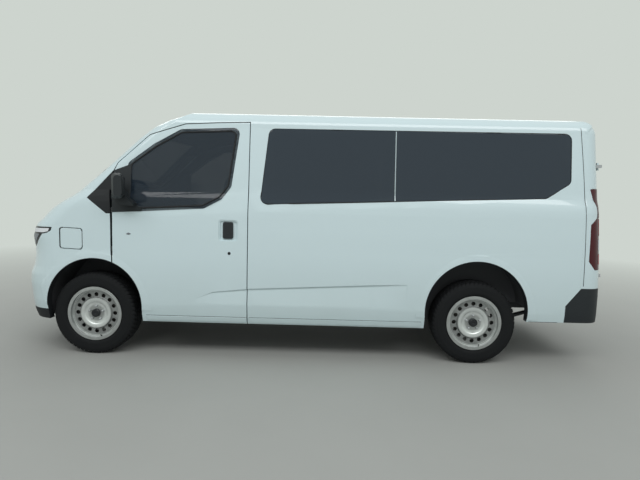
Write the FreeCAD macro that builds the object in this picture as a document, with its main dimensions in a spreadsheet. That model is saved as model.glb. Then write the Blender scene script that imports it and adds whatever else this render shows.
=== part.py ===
import FreeCAD, Part
import math
import os

from FreeCAD import Placement, Rotation, Vector

# A compact minibus, 4.85 m long: front at +X, its left side at +Y, ground at Z = 0.
# Level outlines lofted in bands give the outer form. The same form made smaller by a wall's thickness
# hollows it out, and prisms along the real shut lines split the wall into its panels and doors.

doc = FreeCAD.newDocument("minibus")
sheet = doc.addObject("Spreadsheet::Sheet", "Sizes")

SIZES = {
    # whole vehicle
    "body_length": 4850,
    "half_width": 890,
    "roof_height": 2005,
    "front_axle_x": 1690,
    "rear_axle_x": -1385,
    "axle_height": 334,
    # walls and gaps
    "wall": 60,
    "roof_wall": 42,
    "shut_gap": 7,
    "seam_width": 4,
    "cabin_clear": 20,
    "glass_inset": 3,
    "glass_thick": 5,
    # body form
    "nose_bow": 1800,
    "tail_bow": 8000,
    "tail_corner": 130,
    "roof_crown": 8200,
    "roof_edge_round": 110,
    "roof_edge_y": 806,
    # wheel arches
    "front_arch_radius": 380,
    "front_arch_back": 18,
    "front_arch_rise": 78,
    "rear_arch_radius": 405,
    "rear_arch_rise": 99,
    "flare_rise": 5,
    "flare_reach": 78,
    "flare_slope": 30,
    "house_wall": 8,
    "house_margin": 20,
    "front_house_y": 455,
    "rear_house_y": 590,
    # shut lines
    "b_seam_x": 440,
    "door_front_x": 1525,
    "tail_seam_x": -2192,
    "roof_half": 690,
    "slide_rear_x": -770,
    "bumper_rear_x": 2060,
    "bumper_top": 850,
    # rear doors
    "tail_door_half": 708,
    "tail_door_foot": 655,
    "tail_door_head": 1880,
    # hood and flap
    "hood_half": 735,
    "hood_front_z": 1045,
    "hood_rear_z": 1340,
    "hood_thick": 26,
    "screen_foot": 1392,
    "screen_head": 1880,
    "sail_thick": 4,
    "flap_thick": 12,
    "flap_pocket": 50,
    # hinges
    "door_hinge_x": 1493,
    "door_hinge_y": 850,
    "door_pin": 8,
    "dash_inset": 62,
    "tail_hinge_y": 708,
    "tail_hinge_foot_x": -2409,
    "tail_hinge_head_x": -2342,
    "tail_pin": 6,
    "hood_hinge_x": 1848,
    "hood_hinge_z": 1321,
    "hood_relief": 32,
    "hood_pin": 4,
    "hood_gap": 10,
    "flap_hinge_x": 1930,
    "flap_pin": 2.5,
    # wheels
    "tyre_radius": 334,
    "tyre_width": 205,
    "bead_radius": 203,
    "flange_radius": 220,
    "rim_width": 188,
    "wheel_y": 751,
    "disc_inset": 36,
    "hub_rise": 14,
    "hub_dish": 10,
    "vent_holes": 16,
    "vent_radius": 16.5,
    "vent_circle": 152,
    "hub_bore": 34,
    "bolt_circle": 57,
    "bolts": 5,
    "bolt_hole": 8,
    "rim_sheet": 7,
    # steering and axles
    "kingpin_y": 712,
    "kingpin_radius": 14,
    "spindle_radius": 33.7,
    "running_gap": 0.3,
    "axle_tube": 38,
    "spring_y": 520,
    "spring_width": 60,
    "leaf_thick": 10,
    # underbody
    "floor_top": 560,
    "floor_thick": 50,
    "rail_y": 420,
    "rail_width": 70,
    "rail_depth": 100,
    "battery_rear_x": -620,
    "battery_length": 1500,
    "battery_width": 1080,
    "battery_height": 250,
    "motor_x": 1620,
    "motor_length": 360,
    "motor_width": 770,
    "motor_height": 440,
    "motor_foot": 190,
    "case_round": 18,
    "axle_tube_half": 640,
    "spindle_tip_y": 830,
}
for row, (name, value) in enumerate(SIZES.items(), start=1):
    sheet.set(f"A{row}", name)
    sheet.set(f"B{row}", str(value))
    sheet.setAlias(f"B{row}", name)
doc.recompute()


def size(name):
    """A driving dimension, read from the sheet."""
    return float(sheet.get(name))


half_length = size("body_length") / 2
half_width = size("half_width")
wall = size("wall")
gap = size("shut_gap")
front_x = size("front_axle_x")
rear_x = size("rear_axle_x")
axle_z = size("axle_height")
WIDE = 1200

# Level outlines of the body. Columns: height, inset from the half width, set-back of the nose from the
# front end, set-back of the tail from the rear end, corner radius of the nose.
LEVELS = [
    (285, 40, 50, 0, 270),
    (345, 20, 30, 0, 270),
    (430, 7, 16, 0, 270),
    (575, 2, 0, 0, 270),
    (650, 1, 4, 2, 270),
    (720, 0, 34, 5, 270),
    (810, 0, 48, 9, 268),
    (880, 1, 45, 13, 264),
    (950, 1, 34, 18, 262),
    (1015, 1, 48, 22, 260),
    (1052, 2, 64, 24, 256),
    (1090, 3, 108, 27, 252),
    (1180, 4, 193, 33, 240),
    (1240, 6, 280, 37, 230),
    (1290, 14, 370, 41, 215),
    (1340, 33, 440, 45, 200),
    (1392, 38, 500, 48, 170),
    (1500, 48, 632, 52, 150),
    (1763, 75, 922, 65, 150),
    (1850, 84, 1035, 69, 150),
    (1905, 86, 1150, 71, 150),
    (1965, 88, 1330, 74, 150),
    (2040, 90, 1700, 77, 150),
]


def level_wire(level, offset):
    """One level outline inside the skin by an offset: bowed ends, straight sides, round corners."""
    z, inset, nose_back, tail_back, corner = level
    side = half_width - inset - offset
    edges = []
    ends = (
        (1, half_length - nose_back - offset, size("nose_bow") - offset, corner - offset),
        (-1, half_length - tail_back - offset, size("tail_bow") - offset, size("tail_corner") - offset),
    )
    for way, reach, bow, round_off in ends:
        centre = reach - bow
        corner_x = centre + math.sqrt((bow - round_off) ** 2 - (side - round_off) ** 2)
        turn = math.atan2(side - round_off, corner_x - centre)
        halfway = (turn + math.pi / 2) / 2
        join = Vector(way * (centre + bow * math.cos(turn)), way * bow * math.sin(turn), z)
        elbow = Vector(
            way * (corner_x + round_off * math.cos(halfway)),
            way * (side - round_off + round_off * math.sin(halfway)),
            z,
        )
        flank = Vector(way * corner_x, way * side, z)
        edges.append((flank, elbow, join, Vector(way * reach, 0, z)))
    shapes = []
    for (flank, elbow, join, tip), other in zip(edges, reversed(edges)):
        far_join = Vector(join.x, -join.y, z)
        far_elbow = Vector(elbow.x, -elbow.y, z)
        far_flank = Vector(flank.x, -flank.y, z)
        shapes.append(Part.Arc(far_flank, far_elbow, far_join).toShape())
        shapes.append(Part.Arc(far_join, tip, join).toShape())
        shapes.append(Part.Arc(join, elbow, flank).toShape())
        shapes.append(Part.LineSegment(flank, Vector(other[0].x, -other[0].y, z)).toShape())
    return Part.Wire(shapes)


def body_form(offset, roof_offset):
    """The whole body as one solid inside the skin by an offset, with a crowned, round-edged roof."""
    loft = Part.makeLoft([level_wire(level, offset) for level in LEVELS], True, True)
    crown = size("roof_crown") - roof_offset
    crown_z = size("roof_height") - size("roof_crown")
    edge_round = size("roof_edge_round") - offset * 0.6
    edge_y = size("roof_edge_y") - offset
    centre_y = edge_y - edge_round
    centre_z = crown_z + math.sqrt((crown - edge_round) ** 2 - centre_y**2)
    lean = math.atan2(centre_z - crown_z, centre_y)
    halfway = lean / 2
    half_x = half_length + 100
    join_y = centre_y + edge_round * math.cos(lean)
    join_z = centre_z + edge_round * math.sin(lean)
    elbow_y = centre_y + edge_round * math.cos(halfway)
    elbow_z = centre_z + edge_round * math.sin(halfway)
    x = -half_x
    base_left = Vector(x, WIDE, 0)
    base_right = Vector(x, -WIDE, 0)
    edge_left = Vector(x, edge_y, centre_z)
    edge_right = Vector(x, -edge_y, centre_z)
    join_left = Vector(x, join_y, join_z)
    join_right = Vector(x, -join_y, join_z)
    section = Part.Wire([
        Part.LineSegment(base_right, base_left).toShape(),
        Part.LineSegment(base_left, edge_left).toShape(),
        Part.Arc(edge_left, Vector(x, elbow_y, elbow_z), join_left).toShape(),
        Part.Arc(join_left, Vector(x, 0, crown_z + crown), join_right).toShape(),
        Part.Arc(join_right, Vector(x, -elbow_y, elbow_z), edge_right).toShape(),
        Part.LineSegment(edge_right, base_right).toShape(),
    ])
    return loft.common(Part.Face(section).extrude(Vector(2 * half_x, 0, 0)))


def outline(points, radius, place):
    """A closed outline through corner points, each corner rounded, laid into a plane."""
    corners = []
    count = len(points)
    for index in range(count):
        here = Vector(*points[index], 0)
        back = (Vector(*points[index - 1], 0) - here).normalize()
        ahead = (Vector(*points[(index + 1) % count], 0) - here).normalize()
        if radius == 0:
            corners.append((here, here, here))
            continue
        half_angle = back.getAngle(ahead) / 2
        run = radius / math.tan(half_angle)
        middle = (back + ahead).normalize() * (radius / math.sin(half_angle) - radius)
        corners.append((here + back * run, here + middle, here + ahead * run))
    edges = []
    for index in range(count):
        entry, middle, leave = corners[index]
        if radius > 0:
            edges.append(Part.Arc(place(entry), place(middle), place(leave)).toShape())
        edges.append(Part.LineSegment(place(leave), place(corners[(index + 1) % count][0])).toShape())
    return Part.Face(Part.Wire(edges))


def side_prism(points, y_from, y_to, radius=0):
    """A prism across the body over an outline seen from the side; the points are X and Z."""
    face = outline(points, radius, lambda p: Vector(p.x, y_from, p.y))
    return face.extrude(Vector(0, y_to - y_from, 0))


def end_prism(points, x_from, x_to, radius=0):
    """A prism along the body over an outline seen from an end; the points are Y and Z."""
    face = outline(points, radius, lambda p: Vector(x_from, p.x, p.y))
    return face.extrude(Vector(x_to - x_from, 0, 0))


def block(x_from, x_to, y_from, y_to, z_from, z_to):
    return Part.makeBox(x_to - x_from, y_to - y_from, z_to - z_from, Vector(x_from, y_from, z_from))


def rod(radius, start, end):
    axis = end - start
    return Part.makeCylinder(radius, axis.Length, start, axis)


def mirrored(shape):
    """The same shape on the other side of the body."""
    return shape.mirror(Vector(0, 0, 0), Vector(0, 1, 0))


def both(shape):
    return Part.makeCompound([shape, mirrored(shape)])


NODES = []


def add(name, shape, spot=Vector(0, 0, 0)):
    """A finished sub-part, set down at a spot."""
    part = doc.addObject("Part::Feature", name)
    part.Shape = shape
    part.Placement = Placement(spot, Rotation())
    part.Label = name
    NODES.append(part)
    return part


# Outer form, hollow, and the thin layers for glass and closures
skin = body_form(0, 0)
hollow = body_form(wall, size("roof_wall"))
clear_hollow = body_form(wall + size("cabin_clear"), size("roof_wall") + size("cabin_clear"))
glass_outer = body_form(size("glass_inset"), size("glass_inset"))
glass_depth = size("glass_inset") + size("glass_thick")
glass_inner = body_form(glass_depth, glass_depth)
shell = skin.cut(hollow)
glass_layer = glass_outer.cut(glass_inner)
seat_layer = skin.cut(glass_inner)

# Wheel arches
arch_front_x = front_x - size("front_arch_back")
arch_front_z = axle_z + size("front_arch_rise")
arch_rear_z = axle_z + size("rear_arch_rise")


def arch(x, z, radius, y_from, y_to):
    """A wheel opening: a round head with straight legs down past the body's foot."""
    head = rod(radius, Vector(x, y_from, z), Vector(x, y_to, z))
    legs = block(x - radius, x + radius, y_from, y_to, 100, z)
    return head.fuse(legs)


front_arch = arch(arch_front_x, arch_front_z, size("front_arch_radius"), -WIDE, WIDE)
rear_arch = arch(rear_x, arch_rear_z, size("rear_arch_radius"), -WIDE, WIDE)
tail_underside = block(-2600, -1780, -WIDE, WIDE, 100, 365)
shell = shell.cut([front_arch, rear_arch, tail_underside])

# Shut lines, as X and Z points; the front door's run up the windshield pillar
DOOR_LINE = [
    (440, 200),
    (1525, 200),
    (1525, 1487),
    (1494, 1560),
    (1244, 1787),
    (957, 1877),
    (686, 1892),
    (440, 1900),
]
DOOR_WINDOW = [
    (1403, 1262),
    (1296, 1200),
    (800, 1232),
    (672, 1302),
    (606, 1392),
    (548, 1826),
    (985, 1806),
    (1190, 1690),
    (1380, 1546),
]
REAR_WINDOW = [
    (290, 1850),
    (352, 1252),
    (-718, 1297),
    (-1900, 1345),
    (-2090, 1470),
    (-2090, 1858),
]
LAMP_LINE = [
    (2500, 1034),
    (2001, 1034),
    (2009, 1006),
    (2040, 988),
    (2090, 977),
    (2172, 872),
    (2500, 872),
]
LAMP_FACE = [(960, 1040), (500, 1036), (522, 992), (690, 976), (748, 866), (960, 866)]


def grown(points, amount):
    """Outline points moved outward from the middle by an amount; inward where it is negative."""
    face = outline(points, 0, lambda p: Vector(p.x, 0, p.y))
    wire = face.OuterWire.makeOffset2D(amount, 2)
    moved = [v.Point for v in wire.OrderedVertexes]
    return [(p.x, p.z) for p in moved]


far = half_width + 60
roof_seam_z = 1895
hood_half = size("hood_half")
roof_half = size("roof_half")
door_x = size("door_front_x")
b_x = size("b_seam_x")
tail_x = size("tail_seam_x")
bumper_x = size("bumper_rear_x")
hood_z = size("hood_rear_z")


def cowl_edge(offset):
    """An upright prism over the body's outline at the foot of the hood, moved out by an offset."""
    level = next(row for row in LEVELS if row[0] == hood_z)
    return Part.Face(level_wire(level, -offset)).extrude(Vector(0, 0, 400)).translated(Vector(0, 0, -200))


hood_zone = block(1700, 2500, -hood_half, hood_half, size("hood_front_z"), hood_z).cut(cowl_edge(0))
cowl_zone = block(1600, 2500, -hood_half, hood_half, hood_z - 45, size("screen_foot")).common(cowl_edge(0))
roof_zone = block(tail_x, 2500, -roof_half, roof_half, roof_seam_z, 2100)
lamp_zone = side_prism(LAMP_LINE, 480, far).common(end_prism(LAMP_FACE, 1900, 2500))
left_side = block(-2600, 2600, 0, far, 0, 2100)
left_shell = shell.common(left_side)

# Arch flares: a thin layer over the skin inside a shallow cone round each wheel opening
flared_form = body_form(-size("flare_rise"), 0)
flare_rise = size("flare_rise")
ARCHES = [
    (arch_front_x, arch_front_z, size("front_arch_radius"), front_arch),
    (rear_x, arch_rear_z, size("rear_arch_radius"), rear_arch),
]
for x, z, radius, opening in ARCHES:
    wide = radius + size("flare_reach")
    narrow = wide - size("flare_slope")
    foot = Vector(x, half_width - 2 * flare_rise, z)
    cone = Part.makeCone(wide, narrow, 3 * flare_rise, foot, Vector(0, 1, 0))
    cone = cone.common(block(-2600, 2600, 0, far, 345, 2100))
    left_shell = left_shell.fuse(flared_form.common(cone).cut(opening))


def tapered_cut(sections):
    """A cutter lofted straight through end outlines; each section is an X and its Y and Z points."""
    wires = []
    for x, points in sections:
        corners = [Vector(x, y, z) for y, z in points]
        wires.append(Part.makePolygon(corners + corners[:1]))
    return Part.makeLoft(wires, True, True)


# Shoulder crease: above it the side leans in to the window line. Columns: X, height of the crease
SHOULDER = [(1820, 1330), (1250, 1125), (434, 1173), (-986, 1238), (-1600, 1266), (-2185, 1333)]
shoulder_top = 1346
shoulder_lean = half_width - 31
shoulder_cut = tapered_cut([
    (x, [(half_width - 3, z), (shoulder_lean, shoulder_top), (far, shoulder_top), (far, z)])
    for x, z in SHOULDER
])

# Lower scoop: under a rising crease the side steps in and runs out again. Columns: X, crease height, depth
SCOOP = [(900, 478, 1), (723, 543, 8), (427, 575, 13), (-560, 628, 13), (-830, 640, 1)]
scoop_foot = 445
scoop_cut = tapered_cut([
    (
        x,
        [
            (far, z + 4),
            (half_width - 1, z + 4),
            (half_width - 3 - depth, z - 9),
            (half_width - 6, scoop_foot),
            (far, scoop_foot),
        ],
    )
    for x, z, depth in SCOOP
])
left_shell = left_shell.cut([shoulder_cut, scoop_cut])

# Seams between fixed panels: a shallow groove in the skin over each joint line
half_seam = size("seam_width") / 2
bumper_top = size("bumper_top")
seam_lines = [
    block(tail_x - half_seam, tail_x + half_seam, -far, far, 300, 2100),
    block(bumper_x - half_seam, bumper_x + half_seam, -far, far, 100, bumper_top),
    block(bumper_x, 2500, hood_half, far, bumper_top - half_seam, bumper_top + half_seam),
    block(bumper_x, 2500, -far, -hood_half, bumper_top - half_seam, bumper_top + half_seam),
    block(tail_x, 1560, roof_half - half_seam, roof_half + half_seam, roof_seam_z, 2100),
    block(tail_x, 1560, -roof_half - half_seam, half_seam - roof_half, roof_seam_z, 2100),
    block(b_x - half_seam, b_x + half_seam, roof_half, far, roof_seam_z, 2100),
    block(b_x - half_seam, b_x + half_seam, -far, -roof_half, roof_seam_z, 2100),
]
seam_groove = Part.makeCompound(seam_lines).common(seat_layer)

# Windshield
foot_z = size("screen_foot")
head_z = size("screen_head")
SCREEN = [(-712, foot_z), (712, foot_z), (640, head_z), (-640, head_z)]
screen_zone = end_prism(SCREEN, 700, 2500, 60)
SCREEN_OPENING = [(-682, foot_z + 30), (682, foot_z + 30), (614, head_z - 26), (-614, head_z - 26)]
screen_opening = end_prism(SCREEN_OPENING, 600, 2500, 40)
SCREEN_SEAT = [(-715, foot_z - 3), (715, foot_z - 3), (643, head_z + 3), (-643, head_z + 3)]
screen_seat = end_prism(SCREEN_SEAT, 700, 2500, 60)

# Front bumper, hood, cowl and fenders
bumper_zone = block(bumper_x, 2500, -far, far, 100, size("bumper_top")).fuse(
    block(bumper_x, 2500, -hood_half, hood_half, size("bumper_top"), size("hood_front_z") - gap)
)
INTAKE_ROWS = [415, 445, 475, 505]
intake_slots = [
    end_prism([(-390, z - 9), (390, z - 9), (390, z + 9), (-390, z + 9)], 2250, 2500, 8)
    for z in INTAKE_ROWS
]
half_nose = left_shell.common(bumper_zone).cut([lamp_zone, seam_groove])
nose = half_nose.fuse(mirrored(half_nose)).removeSplitter()
add("front_bumper", nose.cut(intake_slots))
hood_skin = skin.cut(body_form(size("hood_thick"), size("hood_thick")))
hood_pin = size("hood_pin")
play = size("running_gap")
hood_block = block(1700, 2500, -hood_half + gap, hood_half - gap, size("hood_front_z"), hood_z)
hood = hood_skin.common(hood_block).cut(cowl_edge(size("hood_gap")))
hood_axis = Vector(size("hood_hinge_x"), 0, size("hood_hinge_z"))
stud_root = hood_axis + Vector(0, hood_half, 0)
stud_tip = stud_root - Vector(0, gap + 24, 0)
hood_bore = rod(hood_pin + play, stud_tip - Vector(0, 2, 0), stud_root)
add("hood", hood.cut([hood_bore, mirrored(hood_bore)]))
hood_stud = rod(hood_pin, stud_tip, stud_root)
hood_relief = rod(size("hood_relief"), hood_axis + Vector(0, 560, 0), stud_root)
cowl = shell.common(cowl_zone).cut([screen_opening, seat_layer.common(screen_seat)])
add("cowl", cowl.cut([hood_relief, mirrored(hood_relief)]))

door_hinge_x = size("door_hinge_x")
door_hinge_y = size("door_hinge_y")
door_reach = math.hypot(door_x - gap - door_hinge_x, half_width + flare_rise - door_hinge_y)
door_foot = Vector(door_hinge_x, door_hinge_y, 0)
door_head = Vector(door_hinge_x, door_hinge_y, 2200)
swing_room = 5
door_relief = rod(door_reach + swing_room, door_foot, door_head)

FLAP_LINE = [(1756, 858), (1942, 866), (1942, 1038), (1756, 1030)]
flap_y = half_width - 2
flap_t = size("flap_thick")
flap_hinge = Vector(size("flap_hinge_x"), flap_y - flap_t / 2, 0)
flap_pin = size("flap_pin")
flap_pocket = side_prism(FLAP_LINE, half_width - size("flap_pocket"), far, 22)
flap = side_prism(grown(FLAP_LINE, 1 - gap), flap_y - flap_t, flap_y, 26)
flap_nose = rod(flap_t / 2, flap_hinge, flap_hinge + Vector(0, 0, 2000))
flap = flap.common(block(1000, flap_hinge.x, 0, far, 0, 2000).fuse(flap_nose))
flap_bore = rod(flap_pin + play, flap_hinge, flap_hinge + Vector(0, 0, 2000))
flap_middle = block(1900, 1950, 0, far, 892, 1006)
add("charge_flap", flap.cut(flap_bore.cut(flap_middle)))

fender_zone = block(door_x, 2500, 0, far, 100, hood_z)
hood_lip_zone = block(bumper_x, 2500, -hood_half, hood_half, size("bumper_top"), size("hood_front_z"))
fender_cuts = [bumper_zone, hood_lip_zone, hood_zone, cowl_zone, lamp_zone, door_relief, seam_groove]
fender = left_shell.common(fender_zone).cut(fender_cuts)
fender_left = fender.cut(flap_pocket)
add("fenders", Part.makeCompound([fender_left, mirrored(fender)]))
flap_rod = rod(flap_pin, flap_hinge, flap_hinge + Vector(0, 0, 2000))
flap_ends = block(1900, 1950, 0, far, 800, 890).fuse(block(1900, 1950, 0, far, 1008, 1100))
flap_studs = flap_rod.common(flap_pocket).common(flap_ends)

add("headlamps", both(left_shell.common(lamp_zone)))

# Front doors: outer face along the shut line, rear edge rounded so it swings clear of the door pillar
door_zone = side_prism(DOOR_LINE, 0, far)
door_core = side_prism(grown(DOOR_LINE, -gap), 0, far)
door_swing = rod(door_hinge_x - b_x - swing_room, door_foot, door_head)
door_hole = side_prism(DOOR_WINDOW, 0, far, 40)
door_glass_zone = side_prism(grown(DOOR_WINDOW, 24), 0, far, 50)
door_glass_seat = side_prism(grown(DOOR_WINDOW, 26), 0, far, 50)
HANDLE_RECESS = [(518, 956), (674, 954), (674, 1124), (518, 1120)]
recess_mouth = side_prism(HANDLE_RECESS, half_width - 8, far, 26)
recess_floor = side_prism(grown(HANDLE_RECESS, -9), half_width - 20, far, 20)
door = left_shell.common(door_core).common(door_swing)
door = door.cut([door_hole, seat_layer.common(door_glass_seat), recess_mouth, recess_floor])

# Concealed front door hinges: an arm from behind the fender reaches a pin inside the door's front edge
HINGE_HEIGHTS = [865, 1180]
door_pin = size("door_pin")
arm_half = 20
hinge_arms = []
for height in HINGE_HEIGHTS:
    axis_x = door_hinge_x
    axis_y = door_hinge_y
    low = height - arm_half
    high = height + arm_half
    eye = rod(16, Vector(axis_x, axis_y, low), Vector(axis_x, axis_y, high))
    neck = block(axis_x, axis_x + 56, axis_y - 8, axis_y + 8, low, high)
    neck.rotate(Vector(axis_x, axis_y, 0), Vector(0, 0, 1), -45)
    foot = block(axis_x + 40, axis_x + 100, axis_y - 46, axis_y - 12, low, high)
    bore = rod(door_pin + play, Vector(axis_x, axis_y, low - 1), Vector(axis_x, axis_y, high + 1))
    hinge_arms.append(eye.fuse([neck, foot]).removeSplitter().cut([bore, fender]))
    slot = block(axis_x - 22, axis_x + 60, axis_y - 60, axis_y + 22, low - 6, high + 6)
    pin = rod(door_pin, Vector(axis_x, axis_y, low - 18), Vector(axis_x, axis_y, high + 18))
    door = door.cut(slot).fuse(pin)
door = door.removeSplitter()
door_glass = glass_layer.common(left_side).common(door_glass_zone)
add("door_front_left", door)
add("door_front_right", mirrored(door))
add("door_glass_left", door_glass)
add("door_glass_right", mirrored(door_glass))

# Body side with the windshield pillar and the roof rail
window_zone = side_prism(REAR_WINDOW, 0, far, 55)
window_seat = side_prism(grown(REAR_WINDOW, 2), 0, far, 56)
divider_x = -713
window_hole_front = side_prism(
    [(258, 1818), (316, 1286), (divider_x + 26, 1330), (divider_x + 26, 1824)], 0, far, 40
)
window_hole_rear = side_prism(
    [(divider_x - 26, 1824), (divider_x - 26, 1330), (-1888, 1378), (-2056, 1488), (-2056, 1826)],
    0, far, 40,
)
front_end = block(door_x, 2500, 0, far, 100, hood_z)
TAIL_BUMPER = [(-2600, 645), (-2200, 645), (-2087, 502), (-2087, 100), (-2600, 100)]
tail_bumper_zone = side_prism(TAIL_BUMPER, -far, far)
tail_box = block(-2600, tail_x, -far, far, 0, 2100)
side = left_shell.cut([front_end, cowl_zone, roof_zone, door_zone, tail_box, tail_bumper_zone])
side = side.cut([screen_opening, seat_layer.common(screen_seat), seam_groove])
glass_cuts = [window_hole_front, window_hole_rear, seat_layer.common(window_seat)]
side_left = side.cut(glass_cuts)
pane_split = block(divider_x - 4, divider_x + 4, 0, far, 1000, 2000)
pane = glass_layer.common(left_side).common(window_zone).cut(pane_split)

# Right side: the sliding door fills the body side as far as the divider
SLIDE_LINE = [(b_x, 200), (b_x, 1878), (size("slide_rear_x"), 1888), (size("slide_rear_x"), 200)]
slide_zone = side_prism(SLIDE_LINE, 0, far)
slide_core = side_prism(grown(SLIDE_LINE, -5), 0, far)
rail_channel = block(-2080, size("slide_rear_x") - 8, half_width - 24, far, 1085, 1125)
side_right = side.cut(slide_zone).cut([window_hole_rear, seat_layer.common(window_seat), rail_channel])
add("body_sides", Part.makeCompound([side_left, mirrored(side_right)]))
slide = side.common(slide_core)
SLIDE_WINDOW = [(258, 1818), (316, 1286), (-640, 1326), (-640, 1822)]
slide_hole = side_prism(SLIDE_WINDOW, 0, far, 40)
slide_seat = side_prism(grown(SLIDE_WINDOW, 30), 0, far, 56)
slide_glass = side_prism(grown(SLIDE_WINDOW, 28), 0, far, 55)
slide_handle = Vector(-262, 0, 0)
slide_cuts = [slide_hole, seat_layer.common(slide_seat)]
slide_cuts += [recess_mouth.translated(slide_handle), recess_floor.translated(slide_handle)]
add("sliding_door", mirrored(slide.cut(slide_cuts)))
right_zone = window_zone.cut(block(size("slide_rear_x") - 20, 1000, 0, far, 1000, 2000))
right_panes = glass_layer.common(left_side).common(slide_glass.fuse(right_zone))

# Roof and windshield
roof = shell.common(roof_zone).cut([screen_opening, seat_layer.common(screen_seat), seam_groove])
add("roof", roof)
screen = glass_layer.common(screen_zone)
add("fixed_glass", Part.makeCompound([screen, pane, mirrored(right_panes)]))

# Tail: fixed corners with the lamps, two doors hinged on them, a bumper below
tail_half = size("tail_door_half")
tail_foot = size("tail_door_foot")
tail_head = size("tail_door_head")
TAIL_LAMP = [
    (-2600, 1440),
    (-2328, 1440),
    (-2302, 1205),
    (-2246, 1150),
    (-2246, 860),
    (-2300, 792),
    (-2600, 792),
]
tail_lamp_zone = side_prism(TAIL_LAMP, tail_half + 22, far)
tail_opening = block(-2600, -2100, -tail_half, tail_half, tail_foot, tail_head)
tail_shell = shell.common(tail_box).cut([tail_opening, tail_bumper_zone])
add("rear_frame", tail_shell.cut([tail_lamp_zone, mirrored(tail_lamp_zone), seam_groove]))
add("tail_lamps", both(tail_shell.common(tail_lamp_zone)))
add("rear_bumper", shell.common(tail_bumper_zone))

TAIL_WINDOW = [(80, 1340), (615, 1340), (600, 1800), (80, 1800)]
tail_hole = end_prism(TAIL_WINDOW, -2600, -2100, 50)

tail_pane = end_prism(grown(TAIL_WINDOW, 28), -2600, -2100, 60)
tail_pane_seat = end_prism(grown(TAIL_WINDOW, 30), -2600, -2100, 60)
tail_hinge_y = size("tail_hinge_y")
tail_axis_foot = Vector(size("tail_hinge_foot_x"), tail_hinge_y, tail_foot)
tail_axis_head = Vector(size("tail_hinge_head_x"), tail_hinge_y, tail_head)
tail_axis = (tail_axis_head - tail_axis_foot).normalize()
tail_lean = math.degrees(math.atan2(tail_axis.x, tail_axis.z))
tail_swing = Part.makeCylinder(tail_hinge_y - 3, 2600, tail_axis_foot - tail_axis * 800, tail_axis)
tail_leaf = block(-2600, -2100, 3, tail_half - gap, tail_foot + gap, tail_head - gap - 2)
tail_recess = end_prism([(36, 985), (196, 985), (196, 1085), (36, 1085)], -2600, -2393, 18)
tail_cuts = [tail_hole, seat_layer.common(tail_pane_seat), tail_recess]
tail_door = shell.common(tail_leaf).common(tail_swing).cut(tail_cuts)

# Tail door hinges stand outside the corner: a knuckle on the corner between two lugs on the door
TAIL_HINGE_HEIGHTS = [735, 1615]
tail_pin = size("tail_pin")
knuckle_half = 12
tail_knuckles = []
for height in TAIL_HINGE_HEIGHTS:
    centre = tail_axis_foot + tail_axis * ((height - tail_foot) / tail_axis.z)

    def at_hinge(shape):
        """A shape drawn about an upright axis, leaned and moved onto the hinge's own axis."""
        shape.rotate(Vector(0, 0, 0), Vector(0, 1, 0), tail_lean)
        shape.translate(centre)
        return shape

    barrel = rod(12, Vector(0, 0, -knuckle_half), Vector(0, 0, knuckle_half))
    arm = block(-9, 70, 0, 55, -knuckle_half, knuckle_half)
    bore = rod(tail_pin + play, Vector(0, 0, -40), Vector(0, 0, 40))
    tail_knuckles.append(at_hinge(barrel.fuse(arm).removeSplitter().cut(bore)).cut(skin))
    for way in (-1, 1):
        near = way * (knuckle_half + 2)
        deep = way * (knuckle_half + 18)
        low = min(near, deep)
        high = max(near, deep)
        lug = rod(12, Vector(0, 0, low), Vector(0, 0, high))
        strap = block(-9, 9, -70, 0, low, high).fuse(block(0, 44, -70, -12, low, high))
        tail_door = tail_door.fuse(at_hinge(lug.fuse(strap).removeSplitter()))
    pin_end = Vector(0, 0, knuckle_half + 18)
    tail_door = tail_door.fuse(at_hinge(rod(tail_pin, -pin_end, pin_end)))
tail_door = tail_door.removeSplitter()
tail_glass = glass_layer.common(block(-2600, -2100, 0, far, 1200, 1900)).common(tail_pane)
add("rear_door_left", tail_door)
add("rear_door_right", mirrored(tail_door))
add("rear_glass_left", tail_glass)
add("rear_glass_right", mirrored(tail_glass))
hinge_pieces = hinge_arms + tail_knuckles + [hood_stud]
hinge_solids = hinge_pieces + [mirrored(piece) for piece in hinge_pieces] + flap_studs.Solids
add("door_hinges", Part.makeCompound(hinge_solids))

# Floor, wheel houses and firewall
floor_z = size("floor_top")
floor_low = floor_z - size("floor_thick")
house_front_y = size("front_house_y")
house_rear_y = size("rear_house_y")
house_front = size("front_arch_radius") + size("house_margin")
house_rear = size("rear_arch_radius") + size("house_margin")
sheet_t = size("house_wall")
house_foot = 300
house_rear_foot = 465


def wheel_house(x, z, radius, y_inner, room):
    """A sheet arch over one wheel with a wall on its inboard side."""
    outer = arch(x, z, radius + sheet_t, y_inner, far)
    inner = arch(x, z, radius, y_inner + sheet_t, far)
    return outer.cut([inner, block(-2600, 2600, -far, far, 0, house_foot)]).common(room)


arm_window = block(front_x - 70, front_x + 70, 0, house_front_y + 40, 100, 500)
front_house = wheel_house(arch_front_x, arch_front_z, house_front, house_front_y, clear_hollow)
front_house = front_house.cut(arm_window)
axle_window = block(rear_x - 70, rear_x + 70, 0, house_rear_y + 40, 100, 420)
rear_house = wheel_house(rear_x, arch_rear_z, house_rear, house_rear_y, hollow)
rear_house = rear_house.cut([axle_window, block(-2600, rear_x - 120, 0, far, 0, house_rear_foot)])
houses = [front_house, rear_house]
add("wheel_houses", Part.makeCompound(houses + [mirrored(house) for house in houses]))

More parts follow.
